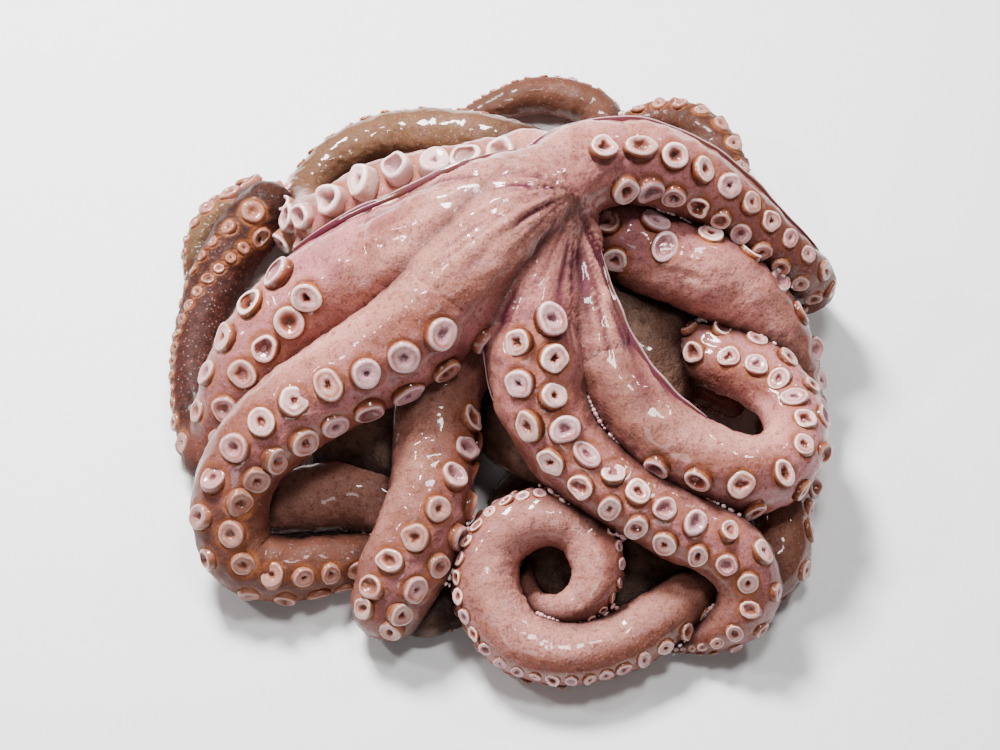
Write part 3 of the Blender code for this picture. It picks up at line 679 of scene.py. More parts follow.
def skin_of_length(number, part, line, at, before, sizes, courses):
    """Skin of one length of arm: a ring of points carried along the middle line with round ends.

    A point is the middle, plus the way out at that angle round the ring, times half the width, the
    section's share and the height of the lumps, wrinkles and sucker mounds.
    """
    arm = ARMS[number]
    sides = sizes.sides
    way, face, across = frames(line)
    angle = np.arange(sides) * 2 * np.pi / sides + np.pi
    cap = np.radians(np.arange(1, END_RINGS + 1) / (END_RINGS + 1) * 90.0)
    pick = np.concatenate([np.zeros(END_RINGS, int), np.arange(len(line)), np.full(END_RINGS, len(line) - 1)])
    tilt = np.concatenate([-cap[::-1], np.zeros(len(line)), cap])
    radial = np.cos(angle)[:, None] * face[pick][:, None, :] + np.sin(angle)[:, None] * across[pick][:, None, :]
    out = np.cos(tilt)[:, None, None] * radial + np.sin(tilt)[:, None, None] * way[pick][:, None, :]
    half = line[pick, 3]
    shape = 1.0 - (1.0 - section(angle))[None, :] * np.cos(tilt)[:, None] ** 2
    base = line[pick, :3][:, None, :] + out * (half[:, None] * shape)[:, :, None]
    tips = np.array([line[0, :3] - way[0] * half[0], line[-1, :3] + way[-1] * half[-1]])
    points = np.vstack([base.reshape(-1, 3), tips])
    outward = np.vstack([out.reshape(-1, 3), [-way[0], way[-1]]])
    walked = np.append(np.repeat(at[pick] + np.sin(tilt) * half, sides), [at[0], at[-1]])
    width = np.append(np.repeat(half, sides), [half[0], half[-1]])
    oral = np.append(np.cos(angle)[None, :] * np.cos(tilt)[:, None], [0.0, 0.0])
    round_ = np.append(np.tile(angle, len(pick)), [0.0, 0.0])

    mound, groove = sucker_marks(points, walked, sucker_places(arm, part, line, at, before))
    scale = np.clip(width / 14.0, 0.35, 1.2)
    across_arm = np.stack([walked / 2.7, np.cos(round_) * width / 8.0, np.sin(round_) * width / 8.0], 1)
    rib = 1.0 - 2.0 * np.abs(noise(across_arm, 1.0, 31 + number))
    from_crown = (walked + before) / arm.crown_reach
    ridged = along_arm(RIDGED.get(number, ((0, 0.0),)), walked + before)
    fold_height, furrow, ridge, _zone = folds(points, sizes)
    plum = violet(points)
    gap = nearest_other(points, number, walked + before, courses, 3.0 * width)
    if (arm.name, part) not in ON_BODY:
        gap = np.minimum(gap, lump_gap(points))
    # Painted shade: the crease mask darkens the skin where another arm or a body lump lies near
    crease = np.clip(1.0 - gap / ARM_CREASE_SHADE, 0.0, 1.0) ** 1.7 * np.clip((from_crown - 0.85) / 0.7, 0.0, 1.0)
    edge = np.exp(-(((crease - 0.30) / 0.16) ** 2))
    tones = skin_tones(arm, walked + before)
    height = relief(points, sizes) * scale + sizes.mound / MM * mound * scale
    height += sizes.rib / MM * rib * np.clip(0.75 - oral, 0.15, 1.0) * scale * np.clip(from_crown - 0.5, 0.0, 1.0)
    height += ridged * np.cos(walked * 2 * np.pi / RIDGE_STEP) * np.clip(1.0 - oral, 0.0, 1.0)
    height += fold_height - ROOT_SINK * np.clip((0.95 - from_crown) / 0.3, 0.0, 1.0)
    height += sizes.bead / MM * edge * np.clip(noise(points, 2.1, 17) * 1.6, -0.2, 1.0)
    height += sizes.rough / MM * noise(points, 3.6, 18) * tones["dusk"] * np.clip(1.2 - oral, 0.0, 1.0)
    points = points + outward * height[:, None]
    points[:, 2] = np.maximum(points[:, 2], 0.0)
    masks = {
        "oral": oral * fade_in(from_crown), "groove": groove, "crease": crease, "plum": plum, "ridge": ridge * plum,
        "furrow": furrow * np.clip(2.0 - from_crown, 0.0, 1.0), "underside_shade": underside_shade_of(outward), **tones,
    }
    return points, *tube_faces(len(pick), sides), masks


def underside_shade_of(outward):
    """How far the skin faces the floor, or nearly: the mask of the painted shade on the underside."""
    return np.clip(0.42 - 0.75 * outward[:, 2], 0, 1)


def sucker_cups(suckers, tall, dusk, profile, sides, draw):
    """Cups turned from a profile about the way out of the skin, each squeezed and tilted a little."""
    place, out, along, wide, _here = suckers
    count = len(place)
    tilt = np.radians(9.0) * draw.normal(size=(count, 2))
    side = unit(np.cross(out, along))
    out = unit(out + tilt[:, :1] * along + tilt[:, 1:] * side)
    along = unit(along - (along * out).sum(1, keepdims=True) * out)
    side = np.cross(out, along)
    spin = draw.uniform(0, 2 * np.pi, count)
    angle = np.arange(sides) * 2 * np.pi / sides
    turn = angle[None, :] + spin[:, None]
    stretch = 1.0 + 0.07 * draw.normal(size=count)
    wave = np.zeros((count, sides))
    for lobes, amount in ((2, 0.065), (3, 0.05), (4, 0.03), (5, 0.025)):
        phase = draw.uniform(0, 2 * np.pi, count)
        wave += amount * draw.normal(size=count)[:, None] * np.cos(lobes * angle[None, :] + phase[:, None])
    size = wide * (1.0 + 0.08 * draw.uniform(-1, 1, count))
    deep = tall * (0.78 + 0.22 * draw.uniform(-1, 1, count))
    reach, lift, level = profile.T[:, None, :, None]
    reach = reach * (1.0 + wave[:, None, :] * np.clip(level * 2.2, 0, 1))
    pit_size = np.clip(0.45 * draw.normal(size=count), -0.45, 0.8)[:, None, None]
    pit_wave = pit_size + 1.7 * wave[:, None, ::-1]
    reach = reach * (1.0 + pit_wave * np.clip((level - 0.55) / 0.15, 0, 1)) * size[:, None, None]
    lift = lift * np.where(lift > 0, deep[:, None, None], 1.0) * (1.0 + 0.5 * wave[:, None, :]) * size[:, None, None]
    ring = np.cos(turn)[:, None, :, None] * along[:, None, None, :] * stretch[:, None, None, None]
    ring = ring + np.sin(turn)[:, None, :, None] * side[:, None, None, :] / stretch[:, None, None, None]
    points = place[:, None, None, :] + ring * reach[..., None] + out[:, None, None, :] * lift[..., None]
    foot = place - out * (size * 0.16)[:, None]
    pit = place + out * (size * (0.045 * (deep - 1.0) - 0.03))[:, None]
    points = np.concatenate([points.reshape(count, -1, 3), foot[:, None], pit[:, None]], 1)
    per = points.shape[1]
    quads, triangles = (for_copies(faces, count, per) for faces in tube_faces(len(profile), sides))
    masks = {
        "level": np.tile([*np.repeat(profile[:, 2], sides), 0.0, 1.0], count),
        "shade": np.repeat(draw.uniform(0, 1, count), per),
        "ray": np.tile([*np.tile(np.cos(angle * 9), len(profile)), 0.0, 0.0], count),
        "dusk": np.repeat(dusk, per),
    }
    return points.reshape(-1, 3), quads, triangles, masks


def ball_grid(middle, half, rings, sides):
    """A rounded body: a half circle of rings from top to bottom, turned about its middle."""
    up = np.pi * np.arange(1, rings)[:, None] / rings
    round_ = 2 * np.pi * np.arange(sides) / sides
    grid = np.stack([np.sin(up) * np.cos(round_), np.sin(up) * np.sin(round_), np.cos(up) * np.ones(sides)], 2)
    grid = np.vstack([grid.reshape(-1, 3), [[0, 0, 1.0], [0, 0, -1.0]]])
    points = grid * half + middle
    quads, fans = tube_faces(rings - 1, sides)
    return points, quads[:, [0, 3, 2, 1]], fans[:, [0, 2, 1]], unit(grid / half)


def web_strip(line, at, turn, first, last, tall, seed):
    """A thin web of skin that stands on an arm.

    A lens-shaped section, thick at its foot and thin at its edge, is carried along the arm at this turn round
    it. Its height rises from nothing, waves a little and falls back to nothing.
    """
    keep = (at >= first) & (at <= last)
    line, at = line[keep], at[keep]
    _way, out, side = frames(line, turn)
    swell = np.sin(np.pi * (at - first) / (last - first)) ** 0.45
    wave = noise(np.stack([at / 9.0, np.full(len(at), seed * 3.1), np.zeros(len(at))], 1), 1.0, 40 + seed)
    height = tall * swell * (1.0 + 0.35 * wave)
    lean = 0.5 * wave * swell
    up, thick = WEB_SECTION.T
    rise = np.where(up > 0, up * height[:, None], up)
    tilt = thick * WEB_THICK * np.clip(swell, 0.2, 1)[:, None] + np.clip(up, 0, 1) ** 2 * lean[:, None]
    points = line[:, None, :3] + out[:, None, :] * (line[:, 3:4] + rise)[..., None] + side[:, None, :] * tilt[..., None]
    ends = points[[0, -1]].mean(1)
    edge = np.append(np.tile(np.clip(up, 0, 1), len(line)), [0.0, 0.0])
    return np.vstack([points.reshape(-1, 3), ends]), *tube_faces(len(line), len(up)), {"edge": edge}


def bead_places(number, line, at, before, courses, draw):
    """Where an arm's edge, as the viewer sees it, rests on another arm: place, way out and way along."""
    places = []
    for turn in (BEAD_TURN, -BEAD_TURN):
        way, out, _across = frames(line, turn)
        here = line[:, :3] + out * (line[:, 3:4] + 0.4)
        gap = nearest_other(here, number, at + before, courses, 3.0 * line[:, 3])
        stays = draw.uniform(size=len(at)) < BEAD_SHARE
        wet_edge = (gap > -3.0) & (gap < 2.5) & (at + before > ARMS[number].crown_reach) & stays
        places.append((here[wet_edge], out[wet_edge], way[wet_edge]))
    return [np.vstack(ways) for ways in zip(*places)]


def crown_tube(line, at, reach, sides=28):
    """The root of one arm, swollen a little at the crown and sunk into the arm at its far end."""
    line, at = line[at < reach].copy(), at[at < reach]
    share = at / reach
    line[:, 3] = line[:, 3] + CROWN_SWELL * (1 - share) - CROWN_DIVE * np.clip((share - 0.76) / 0.24, 0.0, 1.0)
    way, face, across = frames(line)
    angle = np.arange(sides) * 2 * np.pi / sides
    radial = np.cos(angle)[:, None] * face[:, None, :] + np.sin(angle)[:, None] * across[:, None, :]
    points = line[:, None, :3] + radial * (line[:, 3:4] * section(angle))[:, :, None]
    tips = np.array([line[0, :3] - way[0] * line[0, 3], line[-1, :3] + way[-1] * line[-1, 3] * 0.6])
    points = np.vstack([points.reshape(-1, 3), tips])
    return points, *faces_outward(points, *tube_faces(len(line), sides)), {}


def node(tree, kind, inputs=(), **settings):
    """A node of this kind with these settings, in the next place of a grid.

    Its inputs are given by name or number, each with a socket to link or a plain value.
    """
    made = tree.nodes.new(kind)
    column, row = divmod(len(tree.nodes), 8)
    made.location = (220 * column, -260 * row)
    for key, value in settings.items():
        setattr(made, key, value)
    for key, value in dict(inputs).items():
        socket = made.inputs[key]
        if hasattr(value, "links"):
            tree.links.new(value, socket)
        elif socket.type == "RGBA":
            socket.default_value = (*value[:3], 1.0)
        else:
            socket.default_value = value
    return made


def mask(tree, name):
    """One of the piece's own masks."""
    return node(tree, "ShaderNodeAttribute", attribute_name=name).outputs["Fac"]


def mixed(tree, factor, first, second):
    """A mix of two colours."""
    return node(tree, "ShaderNodeMix", {0: factor, 6: first, 7: second}, data_type="RGBA").outputs[2]


def worked(tree, operation, *values, clamp=False):
    """A number worked out from sockets or plain values."""
    return node(tree, "ShaderNodeMath", enumerate(values), operation=operation, use_clamp=clamp).outputs[0]


def ranged(tree, value, low, high, to_low=0.0, to_high=1.0):
    """The value moved from one range to another, with a smooth step."""
    inputs = {"Value": value, "From Min": low, "From Max": high, "To Min": to_low, "To Max": to_high}
    return node(tree, "ShaderNodeMapRange", inputs, interpolation_type="SMOOTHSTEP").outputs["Result"]


def noise_of(tree, where, scale, detail, rough):
    """Fractal noise on these coordinates."""
    inputs = {"Vector": where, "Scale": scale, "Detail": detail, "Roughness": rough}
    return node(tree, "ShaderNodeTexNoise", inputs).outputs["Fac"]


def cells_of(tree, where, scale):
    """Distance to the middle of the nearest of many small cells."""
    return node(tree, "ShaderNodeTexVoronoi", {"Vector": where, "Scale": scale}).outputs["Distance"]


def shared_group(name, amount, outputs, fill):
    """A shader node group of coordinates and one amount, built once; fill gives what it puts out."""
    group = bpy.data.node_groups.get(name)
    if group is None:
        group = bpy.data.node_groups.new(name, "ShaderNodeTree")
        group.interface.new_socket(name="Vector", in_out="INPUT", socket_type="NodeSocketVector")
        group.interface.new_socket(name=amount, in_out="INPUT", socket_type="NodeSocketFloat").default_value = 1.0
        for label in outputs:
            group.interface.new_socket(name=label, in_out="OUTPUT", socket_type="NodeSocketFloat")
        where, given = list(node(group, "NodeGroupInput").outputs)[:2]
        node(group, "NodeGroupOutput", zip(outputs, fill(group, where, given)))
    return group


def fill_mottle(tree, where, size):
    """Cloudy patches, fine speckle, painted white glints and dark dots on the skin, each a mask."""
    scaled = node(tree, "ShaderNodeVectorMath", {0: where, "Scale": size}, operation="SCALE").outputs[0]
    return (
        ranged(tree, noise_of(tree, scaled, 55.0, 4.0, 0.6), 0.38, 0.66),
        ranged(tree, noise_of(tree, scaled, 420.0, 3.0, 0.7), 0.52, 0.68),
        ranged(tree, cells_of(tree, scaled, 560.0), 0.30, 0.05),
        ranged(tree, cells_of(tree, scaled, 820.0), 0.52, 0.18),
    )


def fill_wet_skin(tree, where, amount):
    """Height of the finest relief: goose-flesh, wrinkles across and pores."""
    goose = noise_of(tree, where, 650.0, 2.0, 0.5)
    total = worked(tree, "MULTIPLY_ADD", noise_of(tree, where, 210.0, 3.0, 0.55), 1.6, goose)
    total = worked(tree, "MULTIPLY_ADD", cells_of(tree, where, 1100.0), 0.35, total)
    return (worked(tree, "MULTIPLY", total, amount),)


def mottled(tree, where, size):
    """The skin's patches, speckle, painted glints and dots at this scale."""
    group = shared_group("skin_mottle", "Size", ("Cloud", "Speckle", "Painted_glint", "Dots"), fill_mottle)
    return node(tree, "ShaderNodeGroup", {"Vector": where, "Size": size}, node_tree=group).outputs


def layered(tree, base, *layers):
    """The base colour, then each layer's colour over it as far as its mask times its amount says."""
    for shown, amount, tint in layers:
        shown = mask(tree, shown) if isinstance(shown, str) else shown
        base = mixed(tree, worked(tree, "MULTIPLY", shown, amount, clamp=True), base, tint)
    return base


def skin_paint(tree, where, near, colours):
    """Wet skin: tan outside, pink near the crown, reddish between the suckers and purple in the folds, with painted
    shade in the creases between arms, under the arms and at their edges, and painted white glints.
    """
    wide = mottled(tree, where, 0.37)
    oral, tone, dusk, underside_shade, crease = (mask(tree, name) for name in ("oral", "tone", "dusk", "underside_shade", "crease"))
    # The orange-brown band along the border of the sucker side: partly the skin's own colour, partly painted shade
    # darkening the arms' edges
    band = worked(tree, "MULTIPLY", ranged(tree, oral, 0.02, 0.42), ranged(tree, oral, 0.90, 0.55))
    band = worked(tree, "MULTIPLY", band, ranged(tree, wide["Cloud"], 0.0, 1.0, 0.35, 1.0))
    # Painted shade: skin that faces the floor turns brown, less where the skin is pink
    under = worked(tree, "MULTIPLY", underside_shade, worked(tree, "MULTIPLY_ADD", tone, -0.75, 1.0))
    dull = worked(tree, "MAXIMUM", crease, worked(tree, "MULTIPLY", dusk, 0.68))
    base = layered(
        tree, colours.tan,
        (wide["Cloud"], 0.8, colours.olive),
        (tone, 1.0, mixed(tree, 0.35, colours.cream, colours.pink)),
        (near["Cloud"], 0.42, colours.cream),
        (wide["Speckle"], 0.22, colours.lilac),
        (ranged(tree, oral, 0.35, 0.85), 0.66, colours.pink),
        (band, 0.66, colours.rust),
        (dusk, 0.88, mixed(tree, wide["Cloud"], colours.dusk, colours.umber)),
        (ranged(tree, dusk, 1.0, 1.25), 0.8, colours.fold),
        ("moss", 0.85, colours.moss),
        # painted shade on the skin that faces the floor
        (under, 0.85, colours.brown),
        # purple skin, partly painted shade in the valley between the arms
        ("plum", 0.98, colours.purple),
        ("ridge", 0.9, colours.cream),
        (near["Dots"], 0.34, colours.brown),
        (near["Speckle"], 0.54, colours.brown),
        # painted highlight: white glints in the pale patches
        (worked(tree, "MULTIPLY", near["Painted_glint"], wide["Cloud"]), 0.16, colours.rim),
        # purple in the furrows of the crown's folds, partly painted shade in them
        ("furrow", 1.1, colours.purple),
        ("groove", 0.80, colours.halo),
        # painted shade in the creases between arms and in the crown's folds
        (crease, 0.95, colours.fold),
    )
    return base, worked(tree, "MAXIMUM", dull, underside_shade)


def sucker_paint(tree, where, mottle, colours):
    """Suckers: dark brown foot, pale or lilac rim, rayed pink dish and a dark pit."""
    level, shade, dusk = (mask(tree, name) for name in ("level", "shade", "dusk"))
    ramp = node(tree, "ShaderNodeValToRGB", {"Fac": level})
    stops = (
        (0.00, "groove"), (0.09, "groove"), (0.18, "halo"), (0.28, "halo"), (0.35, "rim"), (0.56, "rim"),
        (0.67, "petal"), (0.73, "dish"), (0.80, "rust"), (0.88, "brown"), (0.95, "fold"),
    )
    while len(ramp.color_ramp.elements) < len(stops):
        ramp.color_ramp.elements.new(0.5)
    for element, (at, name) in zip(ramp.color_ramp.elements, stops):
        element.position = at
        element.color = (*getattr(colours, name), 1.0)
    upper = ranged(tree, level, 0.16, 0.26)
    ring = worked(tree, "MULTIPLY", ranged(tree, level, 0.44, 0.51), ranged(tree, level, 0.63, 0.55))
    ring = worked(tree, "MULTIPLY", ring, ranged(tree, mottle["Cloud"], 0.0, 1.0, 0.5, 1.0))
    base = layered(
        tree, ramp.outputs["Color"],
        (worked(tree, "MULTIPLY", ranged(tree, shade, 0.45, 0.75), upper), 0.50, colours.lilac),
        (worked(tree, "MULTIPLY", ranged(tree, shade, 0.28, 0.05), upper), 0.42, colours.tan),
        (ring, 0.85, colours.dish),
        (worked(tree, "MULTIPLY", mask(tree, "ray"), ranged(tree, level, 0.58, 0.66)), 0.22, colours.brown),
        (mottle["Speckle"], 0.30, colours.brown),
        (mottle["Cloud"], 0.26, colours.dish),
        (dusk, 0.78, colours.tan),
        (ranged(tree, dusk, 0.0, -1.0), 0.6, colours.rim),
    )
    return base, None


def web_paint(tree, where, mottle, colours):
    """The webs: purple-brown skin with a thin pale edge."""
    base = layered(
        tree, mixed(tree, mottle["Cloud"], colours.purple, colours.umber),
        (mottle["Speckle"], 0.5, colours.brown),
        (ranged(tree, mask(tree, "edge"), 0.55, 0.95), 0.35, colours.rim),
    )
    return base, None


def bead_highlight_paint(tree, where, mottle, colours):
    """Beads of water painted pale pink and white, as painted highlights."""
    return mixed(tree, mottle["Cloud"], colours.petal, colours.rim), None


def body_paint(tree, where, mottle, colours):
    """The body bag: grey-brown wet skin, darker than the arms as painted shade under them, and darkest as painted shade
    where an arm lies near.
    """
    crease = mask(tree, "crease")
    base = mixed(tree, mottle["Cloud"], BODY_DARK, BODY_PALE)
    return layered(tree, base, (mottle["Speckle"], 0.5, colours.fold), (crease, 0.95, colours.fold)), crease


# The finishes: paint, scale of the patches, roughness and coat between the patches and in them, amount, strength
# and depth in metres of the fine relief, and how far light goes into the flesh
FINISHES = {
    "octopus_skin_wet": (skin_paint, 1.0, (0.60, 0.46), (0.8, 1.0), (1.0, 0.34, 0.0007), 0.08),
    "octopus_sucker_wet": (sucker_paint, 1.6, (0.42, 0.28), (0.8, 1.0), (0.8, 0.5, 0.0004), 0.12),
    "octopus_web_wet": (web_paint, 1.0, (0.5, 0.4), (0.85, 1.0), (0.6, 0.5, 0.0004), 0.15),
    "octopus_beads_painted_highlight": (bead_highlight_paint, 1.0, (0.12, 0.05), (0.9, 1.0), None, 0.3),
    "octopus_body_wet": (body_paint, 0.8, (0.46, 0.34), (0.85, 1.0), (1.0, 0.7, 0.0007), 0.05),
}


def new_material(name, inputs):
    """A material with its Principled shader, whose inputs are given as a node's are."""
    material = bpy.data.materials.new(name)
    material.use_nodes = True
    tree = material.node_tree
    tree.nodes.clear()
    shader = node(tree, "ShaderNodeBsdfPrincipled", inputs(tree))
    node(tree, "ShaderNodeOutputMaterial", {"Surface": shader.outputs[0]})
    return material


def wet_material(name, colours):
    """The finish of this name, built once: a thin clear film over soft flesh, less of it in dull places."""
    paint, size, rough, coat, bump, flesh = FINISHES[name]

    def inputs(tree):
        where = node(tree, "ShaderNodeTexCoord").outputs["Object"]
        mottle = mottled(tree, where, size)
        base, dull = paint(tree, where, mottle, colours)
        weight = ranged(tree, mottle["Cloud"], 0.0, 1.0, *coat)
        if dull is not None:
            weight = worked(tree, "SUBTRACT", weight, ranged(tree, dull, 0.3, 0.9, 0.0, 0.95), clamp=True)
        found = {
            "Base Color": base, "Roughness": ranged(tree, mottle["Cloud"], 0.0, 1.0, *rough), "Coat Weight": weight,
            "IOR": 1.40, "Specular IOR Level": 0.15, "Coat Roughness": 0.07, "Coat IOR": 1.36,
            "Subsurface Weight": flesh, "Subsurface Radius": (1.0, 0.45, 0.3), "Subsurface Scale": 0.0035,
        }
        if bump:
            amount, strength, depth = bump
            group = shared_group("wet_relief", "Amount", ("Height",), fill_wet_skin)
            fine = node(tree, "ShaderNodeGroup", {"Vector": where, "Amount": amount}, node_tree=group)
            height = {"Strength": strength, "Distance": depth, "Height": fine.outputs["Height"]}
            found["Normal"] = node(tree, "ShaderNodeBump", height).outputs["Normal"]
        return found

    return bpy.data.materials.get(name) or new_material(name, inputs)


class OCTOPUS_OT_arms(bpy.types.Operator):
    """Lay the skin of every length of arm"""

    bl_idname = "octopus.arms"
    bl_label = "Arms"

    def execute(self, context):
        sizes = context.scene.octopus_sizes
        material = wet_material("octopus_skin_wet", context.scene.octopus_colours)
        courses = all_courses()
        for number, arm in enumerate(ARMS):
            for part, line, at, before in lengths_of(arm, sizes.ring_step / MM):
                skin = skin_of_length(number, part, line, at, before, sizes, courses)
                put_piece(f"arm_{arm.name}_{part + 1}", *skin, material)
        return {"FINISHED"}


class OCTOPUS_OT_suckers(bpy.types.Operator):
    """Set the suckers in two rows along every arm"""

    bl_idname = "octopus.suckers"
    bl_label = "Suckers"

    def execute(self, context):
        sizes = context.scene.octopus_sizes
        material = wet_material("octopus_sucker_wet", context.scene.octopus_colours)
        draw = np.random.default_rng(SUCKER_SEED)
        for arm in ARMS:
            cups = []
            for part, line, at, before in lengths_of(arm, sizes.ring_step / MM):
                place, out, along, wide, here = sucker_places(arm, part, line, at, before)
                walked = here + before
                lift = CROWN_SWELL + 0.6 - 0.6 * np.clip(walked / arm.crown_reach - 0.6, 0.0, 5.0) / 0.4
                lift = np.clip(lift, 0.0, None) + np.clip(relief(place, sizes), 0.0, 0.9)
                found = (place + out * lift[:, None], out, along, wide, here)
                dusk = along_arm(arm.dusk, walked) - PALE_SUCKERS.get(arm.name, 0.0)
                tall = along_arm(SUCKER_TALL.get(arm.name, ((0, 1.0),)), walked)
                small = wide <= SMALL_SUCKER
                for chosen, profile, sides in (
                    (~small, SUCKER_PROFILE, SUCKER_SIDES), (small, SMALL_SUCKER_PROFILE, SMALL_SUCKER_SIDES),
                ):
                    if chosen.any():
                        picked = [values[chosen] for values in found]
                        cups.append(sucker_cups(picked, tall[chosen], dusk[chosen], profile, sides, draw))
            points, quads, triangles, masks = joined(cups)
            points[:, 2] = np.maximum(points[:, 2], 0.0)
            put_piece(f"suckers_{arm.name}", points, quads, triangles, masks, material)
        return {"FINISHED"}


class OCTOPUS_OT_beads(bpy.types.Operator):
    """Set pale beads of water, painted highlights, along the edges where arms rest on one another"""

    bl_idname = "octopus.beads"
    bl_label = "Beads of water"

    def execute(self, context):
        material = wet_material("octopus_beads_painted_highlight", context.scene.octopus_colours)
        courses = all_courses()
        draw = np.random.default_rng(BEAD_SEED)
        found = [
            bead_places(number, line, at, before, courses, draw)
            for number, arm in enumerate(ARMS) for _part, line, at, before in lengths_of(arm, BEAD_STEP)
        ]
        place, out, along = (np.vstack(ways)[:, None] for ways in zip(*found))
        count = len(place)
        size = draw.uniform(0.45, 0.95, count)[:, None, None]
        stretch = draw.uniform(1.0, 1.9, count)[:, None, None]
        ball, quads, fans, _out = ball_grid(np.zeros(3), np.ones(3), *BEAD_GRID)
        x, y, z = ball.T[:, None, :, None]
        points = place + size * (x * stretch * along + y * out + z * np.cross(out, along))
        quads, fans = (for_copies(faces, count, len(ball)) for faces in (quads, fans))
        put_piece("wet_beads_painted_highlight", points.reshape(-1, 3), quads, fans, {}, material)
        return {"FINISHED"}


class OCTOPUS_OT_webs(bpy.types.Operator):
    """Stand the thin webs of skin on the arms round the crown"""

    bl_idname = "octopus.webs"
    bl_label = "Webs"

    def execute(self, context):
        sizes = context.scene.octopus_sizes
        material = wet_material("octopus_web_wet", context.scene.octopus_colours)
        for number, (arm, turn, first, last, tall) in enumerate(WEBS):
            line, at = course(ARMS[arm].lengths[0], sizes.ring_step / MM)
            put_piece(f"web_{number + 1}", *web_strip(line, at, turn, first, last, tall, number), material)
        return {"FINISHED"}


class OCTOPUS_OT_body(bpy.types.Operator):
    """Put the body bag and its skirt under the arms"""

    bl_idname = "octopus.body"
    bl_label = "Body"

    def execute(self, context):
        sizes = context.scene.octopus_sizes
        material = wet_material("octopus_body_wet", context.scene.octopus_colours)
        courses = all_courses()
        for name, (middle, half) in BODY_LUMPS.items():
            points, quads, triangles, outward = ball_grid(middle + HEAP_SHIFT, half, *BODY_GRID)
            height = relief(points, sizes) + 0.8 * noise(points, 22.0, 9)
            points = points + outward * height[:, None]
            points[:, 2] = np.maximum(points[:, 2], 0.0)
            # Painted shade: the crease mask darkens the body where an arm lies near
            gap = nearest_other(points, -1, points[:, 2], courses, points[:, 2])
            crease = np.clip(1.0 - gap / BODY_CREASE_SHADE, 0.0, 1.0) ** 1.2
            put_piece(name, points, quads, triangles, {"crease": crease}, material)
        return {"FINISHED"}


class OCTOPUS_OT_crown(bpy.types.Operator):
    """Blend the roots of the arms into one crown with folds between them"""

    bl_idname = "octopus.crown"
    bl_label = "Crown"

    def execute(self, context):
        sizes = context.scene.octopus_sizes
        roots = [(arm, *course(arm.lengths[0], CROWN_STEP)) for arm in ARMS]
        shapes = [crown_tube(line, at, arm.crown_reach) for arm, line, at in roots]
        middle, half = ROOT_LUMP
        shapes.append((*ball_grid(middle + HEAP_SHIFT, half, *ROOT_GRID)[:3], {}))
        crown = put_mesh("crown", *joined(shapes))
        grid = crown.modifiers.new("grid", "REMESH")
        grid.mode = "VOXEL"
        grid.voxel_size = sizes.crown_voxel
        soft = crown.modifiers.new("soft", "SMOOTH")
        soft.factor = 0.5
        soft.iterations = CROWN_SOFTEN
        bpy.context.view_layer.update()
        shape = bpy.data.meshes.new_from_object(crown.evaluated_get(bpy.context.evaluated_depsgraph_get()))
        crown.modifiers.clear()
        rough_mesh = crown.data
        crown.data = shape
        bpy.data.meshes.remove(rough_mesh)
        self.finish_skin(shape, roots, sizes)
        dress(crown, wet_material("octopus_skin_wet", context.scene.octopus_colours))
        return {"FINISHED"}

    def finish_skin(self, mesh, roots, sizes):
        """Raises lumps and running folds, and works out the same masks as the arms have."""
        count = len(mesh.vertices)
        points, normals = np.empty((2, count * 3), np.float32)
        mesh.vertices.foreach_get("co", points)
        mesh.vertices.foreach_get("normal", normals)
        points = points.reshape(-1, 3).astype(float) / MM
        normals = normals.reshape(-1, 3).astype(float)
        best = np.full(count, np.inf)
        second = np.full(count, np.inf)
        masks = {key: np.zeros(count) for key in ("oral", "tone", "dusk", "moss", "groove")}
        for arm, line, at in roots:
            _way, face, _across = frames(line)
            offset = points[:, None, :] - line[None, :, :3]
            far = np.sqrt((offset**2).sum(2))
            skin = far - line[None, :, 3]
            k = skin.argmin(1)
            near = skin[np.arange(count), k]
            away = offset[np.arange(count), k] / far[np.arange(count), k][:, None]
            closer = near < best
            second = np.where(closer, best, np.minimum(second, near))
            best = np.where(closer, near, best)
            oral = (away * face[k]).sum(1) * fade_in(at[k] / arm.crown_reach)
            for key, values in {"oral": oral, **skin_tones(arm, at[k])}.items():
                masks[key] = np.where(closer, values, masks[key])
        fold = np.exp(-np.clip(second - best, 0, None) / 2.2)
        fold_height, furrow, ridge, zone = folds(points, sizes)
        plum = violet(points)
        height = relief(points, sizes) * CROWN_SCALE + fold_height - 0.9 * fold * zone
        points = points + normals * height[:, None]
        mesh.vertices.foreach_set("co", (points * MM).astype(np.float32).ravel())
        mesh.polygons.foreach_set("use_smooth", np.ones(len(mesh.polygons), bool))
        # The crease mask paints shade in the creases where two arms' roots meet
        add_masks(mesh, {
            **masks, "furrow": furrow, "plum": plum, "ridge": ridge * plum, "underside_shade": underside_shade_of(normals),
            "crease": np.clip(0.8 * fold * zone, 0, 1),
        })
        mesh.update()


# The lights: place in metres, side in metres and power in watts; all turn to the middle of the heap
LIGHTS = {
    "key": ((-0.28, 0.42, 0.78), 0.22, 31.0),
    "high": ((0.12, 0.02, 0.95), 0.16, 5.0),
    "left_spark": ((-0.62, 0.05, 0.65), 0.08, 2.6),
    "right_spark": ((0.50, 0.42, 0.70), 0.08, 2.6),
    "front": ((-0.15, -0.75, 0.75), 0.25, 1.4),
}
LIGHTS_AIM = (0.0, 0.0, 0.04)
WORLD_STRENGTH = 0.05


def stand(name, data, place, toward):
    """An object with these data at a place in metres, looking this way."""
    thing = bpy.data.objects.new(name, data)
    thing.location = place
    thing.rotation_euler = Vector(toward).to_track_quat("-Z", "Y").to_euler()
    bpy.context.scene.collection.objects.link(thing)
    return thing


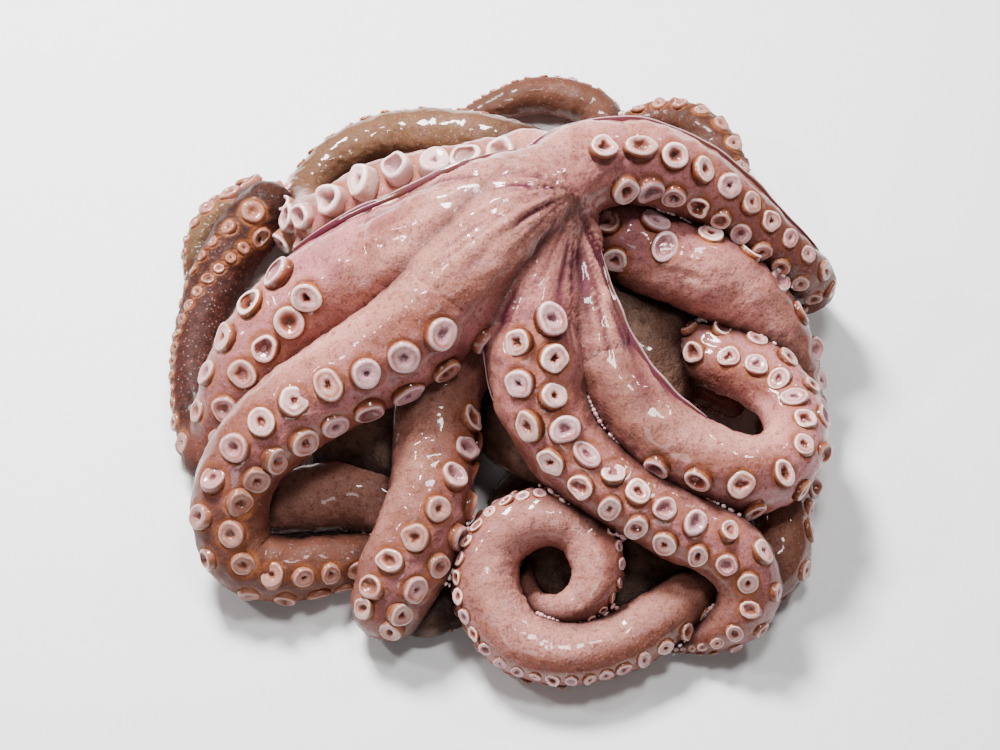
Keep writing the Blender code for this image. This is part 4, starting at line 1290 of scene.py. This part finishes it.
class OCTOPUS_OT_stage(bpy.types.Operator):
    """Lay the pale floor, hang the studio lights and set the camera"""

    bl_idname = "octopus.stage"
    bl_label = "Stage"

    def execute(self, context):
        if context.scene.octopus_sizes.with_floor:
            corners = ((-1, -1), (1, -1), (1, 1), (-1, 1))
            corners = np.array([(x * FLOOR_HALF, y * FLOOR_HALF, FLOOR) for x, y in corners])
            floor = put_mesh("floor", corners / MM, np.array([[0, 1, 2, 3]]), np.zeros((0, 3), int), {})
            look = {"Base Color": context.scene.octopus_colours.floor, "Roughness": 0.6}
            floor.data.materials.append(new_material("pale_floor", lambda _tree: look))
        world = bpy.data.worlds.new("studio")
        world.use_nodes = True
        background = world.node_tree.nodes["Background"]
        background.inputs["Color"].default_value = (1.0, 1.0, 1.0, 1.0)
        background.inputs["Strength"].default_value = WORLD_STRENGTH
        context.scene.world = world
        for name, (place, size, power) in LIGHTS.items():
            light = bpy.data.lights.new(name, "AREA")
            light.size = size
            light.energy = power
            stand(name, light, place, Vector(LIGHTS_AIM) - Vector(place))
        _right, _up, toward, eye = view_axes()
        data = bpy.data.cameras.new("camera")
        data.sensor_width = SENSOR
        data.lens = SENSOR * VIEW_DISTANCE / VIEW_WIDTH
        context.scene.camera = stand("camera", data, (eye + HEAP_SHIFT) * MM, -toward)
        return {"FINISHED"}


class OCTOPUS_PT_panel(bpy.types.Panel):
    """The octopus's sizes, colours and pieces"""

    bl_label = "Octopus"
    bl_idname = "OCTOPUS_PT_panel"
    bl_space_type = "VIEW_3D"
    bl_region_type = "UI"
    bl_category = "Octopus"

    def draw(self, context):
        for group in (context.scene.octopus_sizes, context.scene.octopus_colours):
            for key in group.__annotations__:
                self.layout.prop(group, key)
        for operator in OPERATORS:
            self.layout.operator(operator.bl_idname)


OPERATORS = (
    OCTOPUS_OT_body, OCTOPUS_OT_arms, OCTOPUS_OT_suckers, OCTOPUS_OT_crown, OCTOPUS_OT_webs, OCTOPUS_OT_beads,
    OCTOPUS_OT_stage,
)
CLASSES = (OctopusSizes, OctopusColours, *OPERATORS, OCTOPUS_PT_panel)


def register():
    for one in CLASSES:
        bpy.utils.register_class(one)
    bpy.types.Scene.octopus_sizes = PointerProperty(type=OctopusSizes)
    bpy.types.Scene.octopus_colours = PointerProperty(type=OctopusColours)


def unregister():
    del bpy.types.Scene.octopus_colours
    del bpy.types.Scene.octopus_sizes
    for one in reversed(CLASSES):
        bpy.utils.unregister_class(one)


def main():
    register()
    bpy.ops.octopus.body()
    bpy.ops.octopus.arms()
    bpy.ops.octopus.suckers()
    bpy.ops.octopus.crown()
    bpy.ops.octopus.webs()
    bpy.ops.octopus.beads()
    bpy.ops.octopus.stage()


if __name__ == "__main__":
    main()
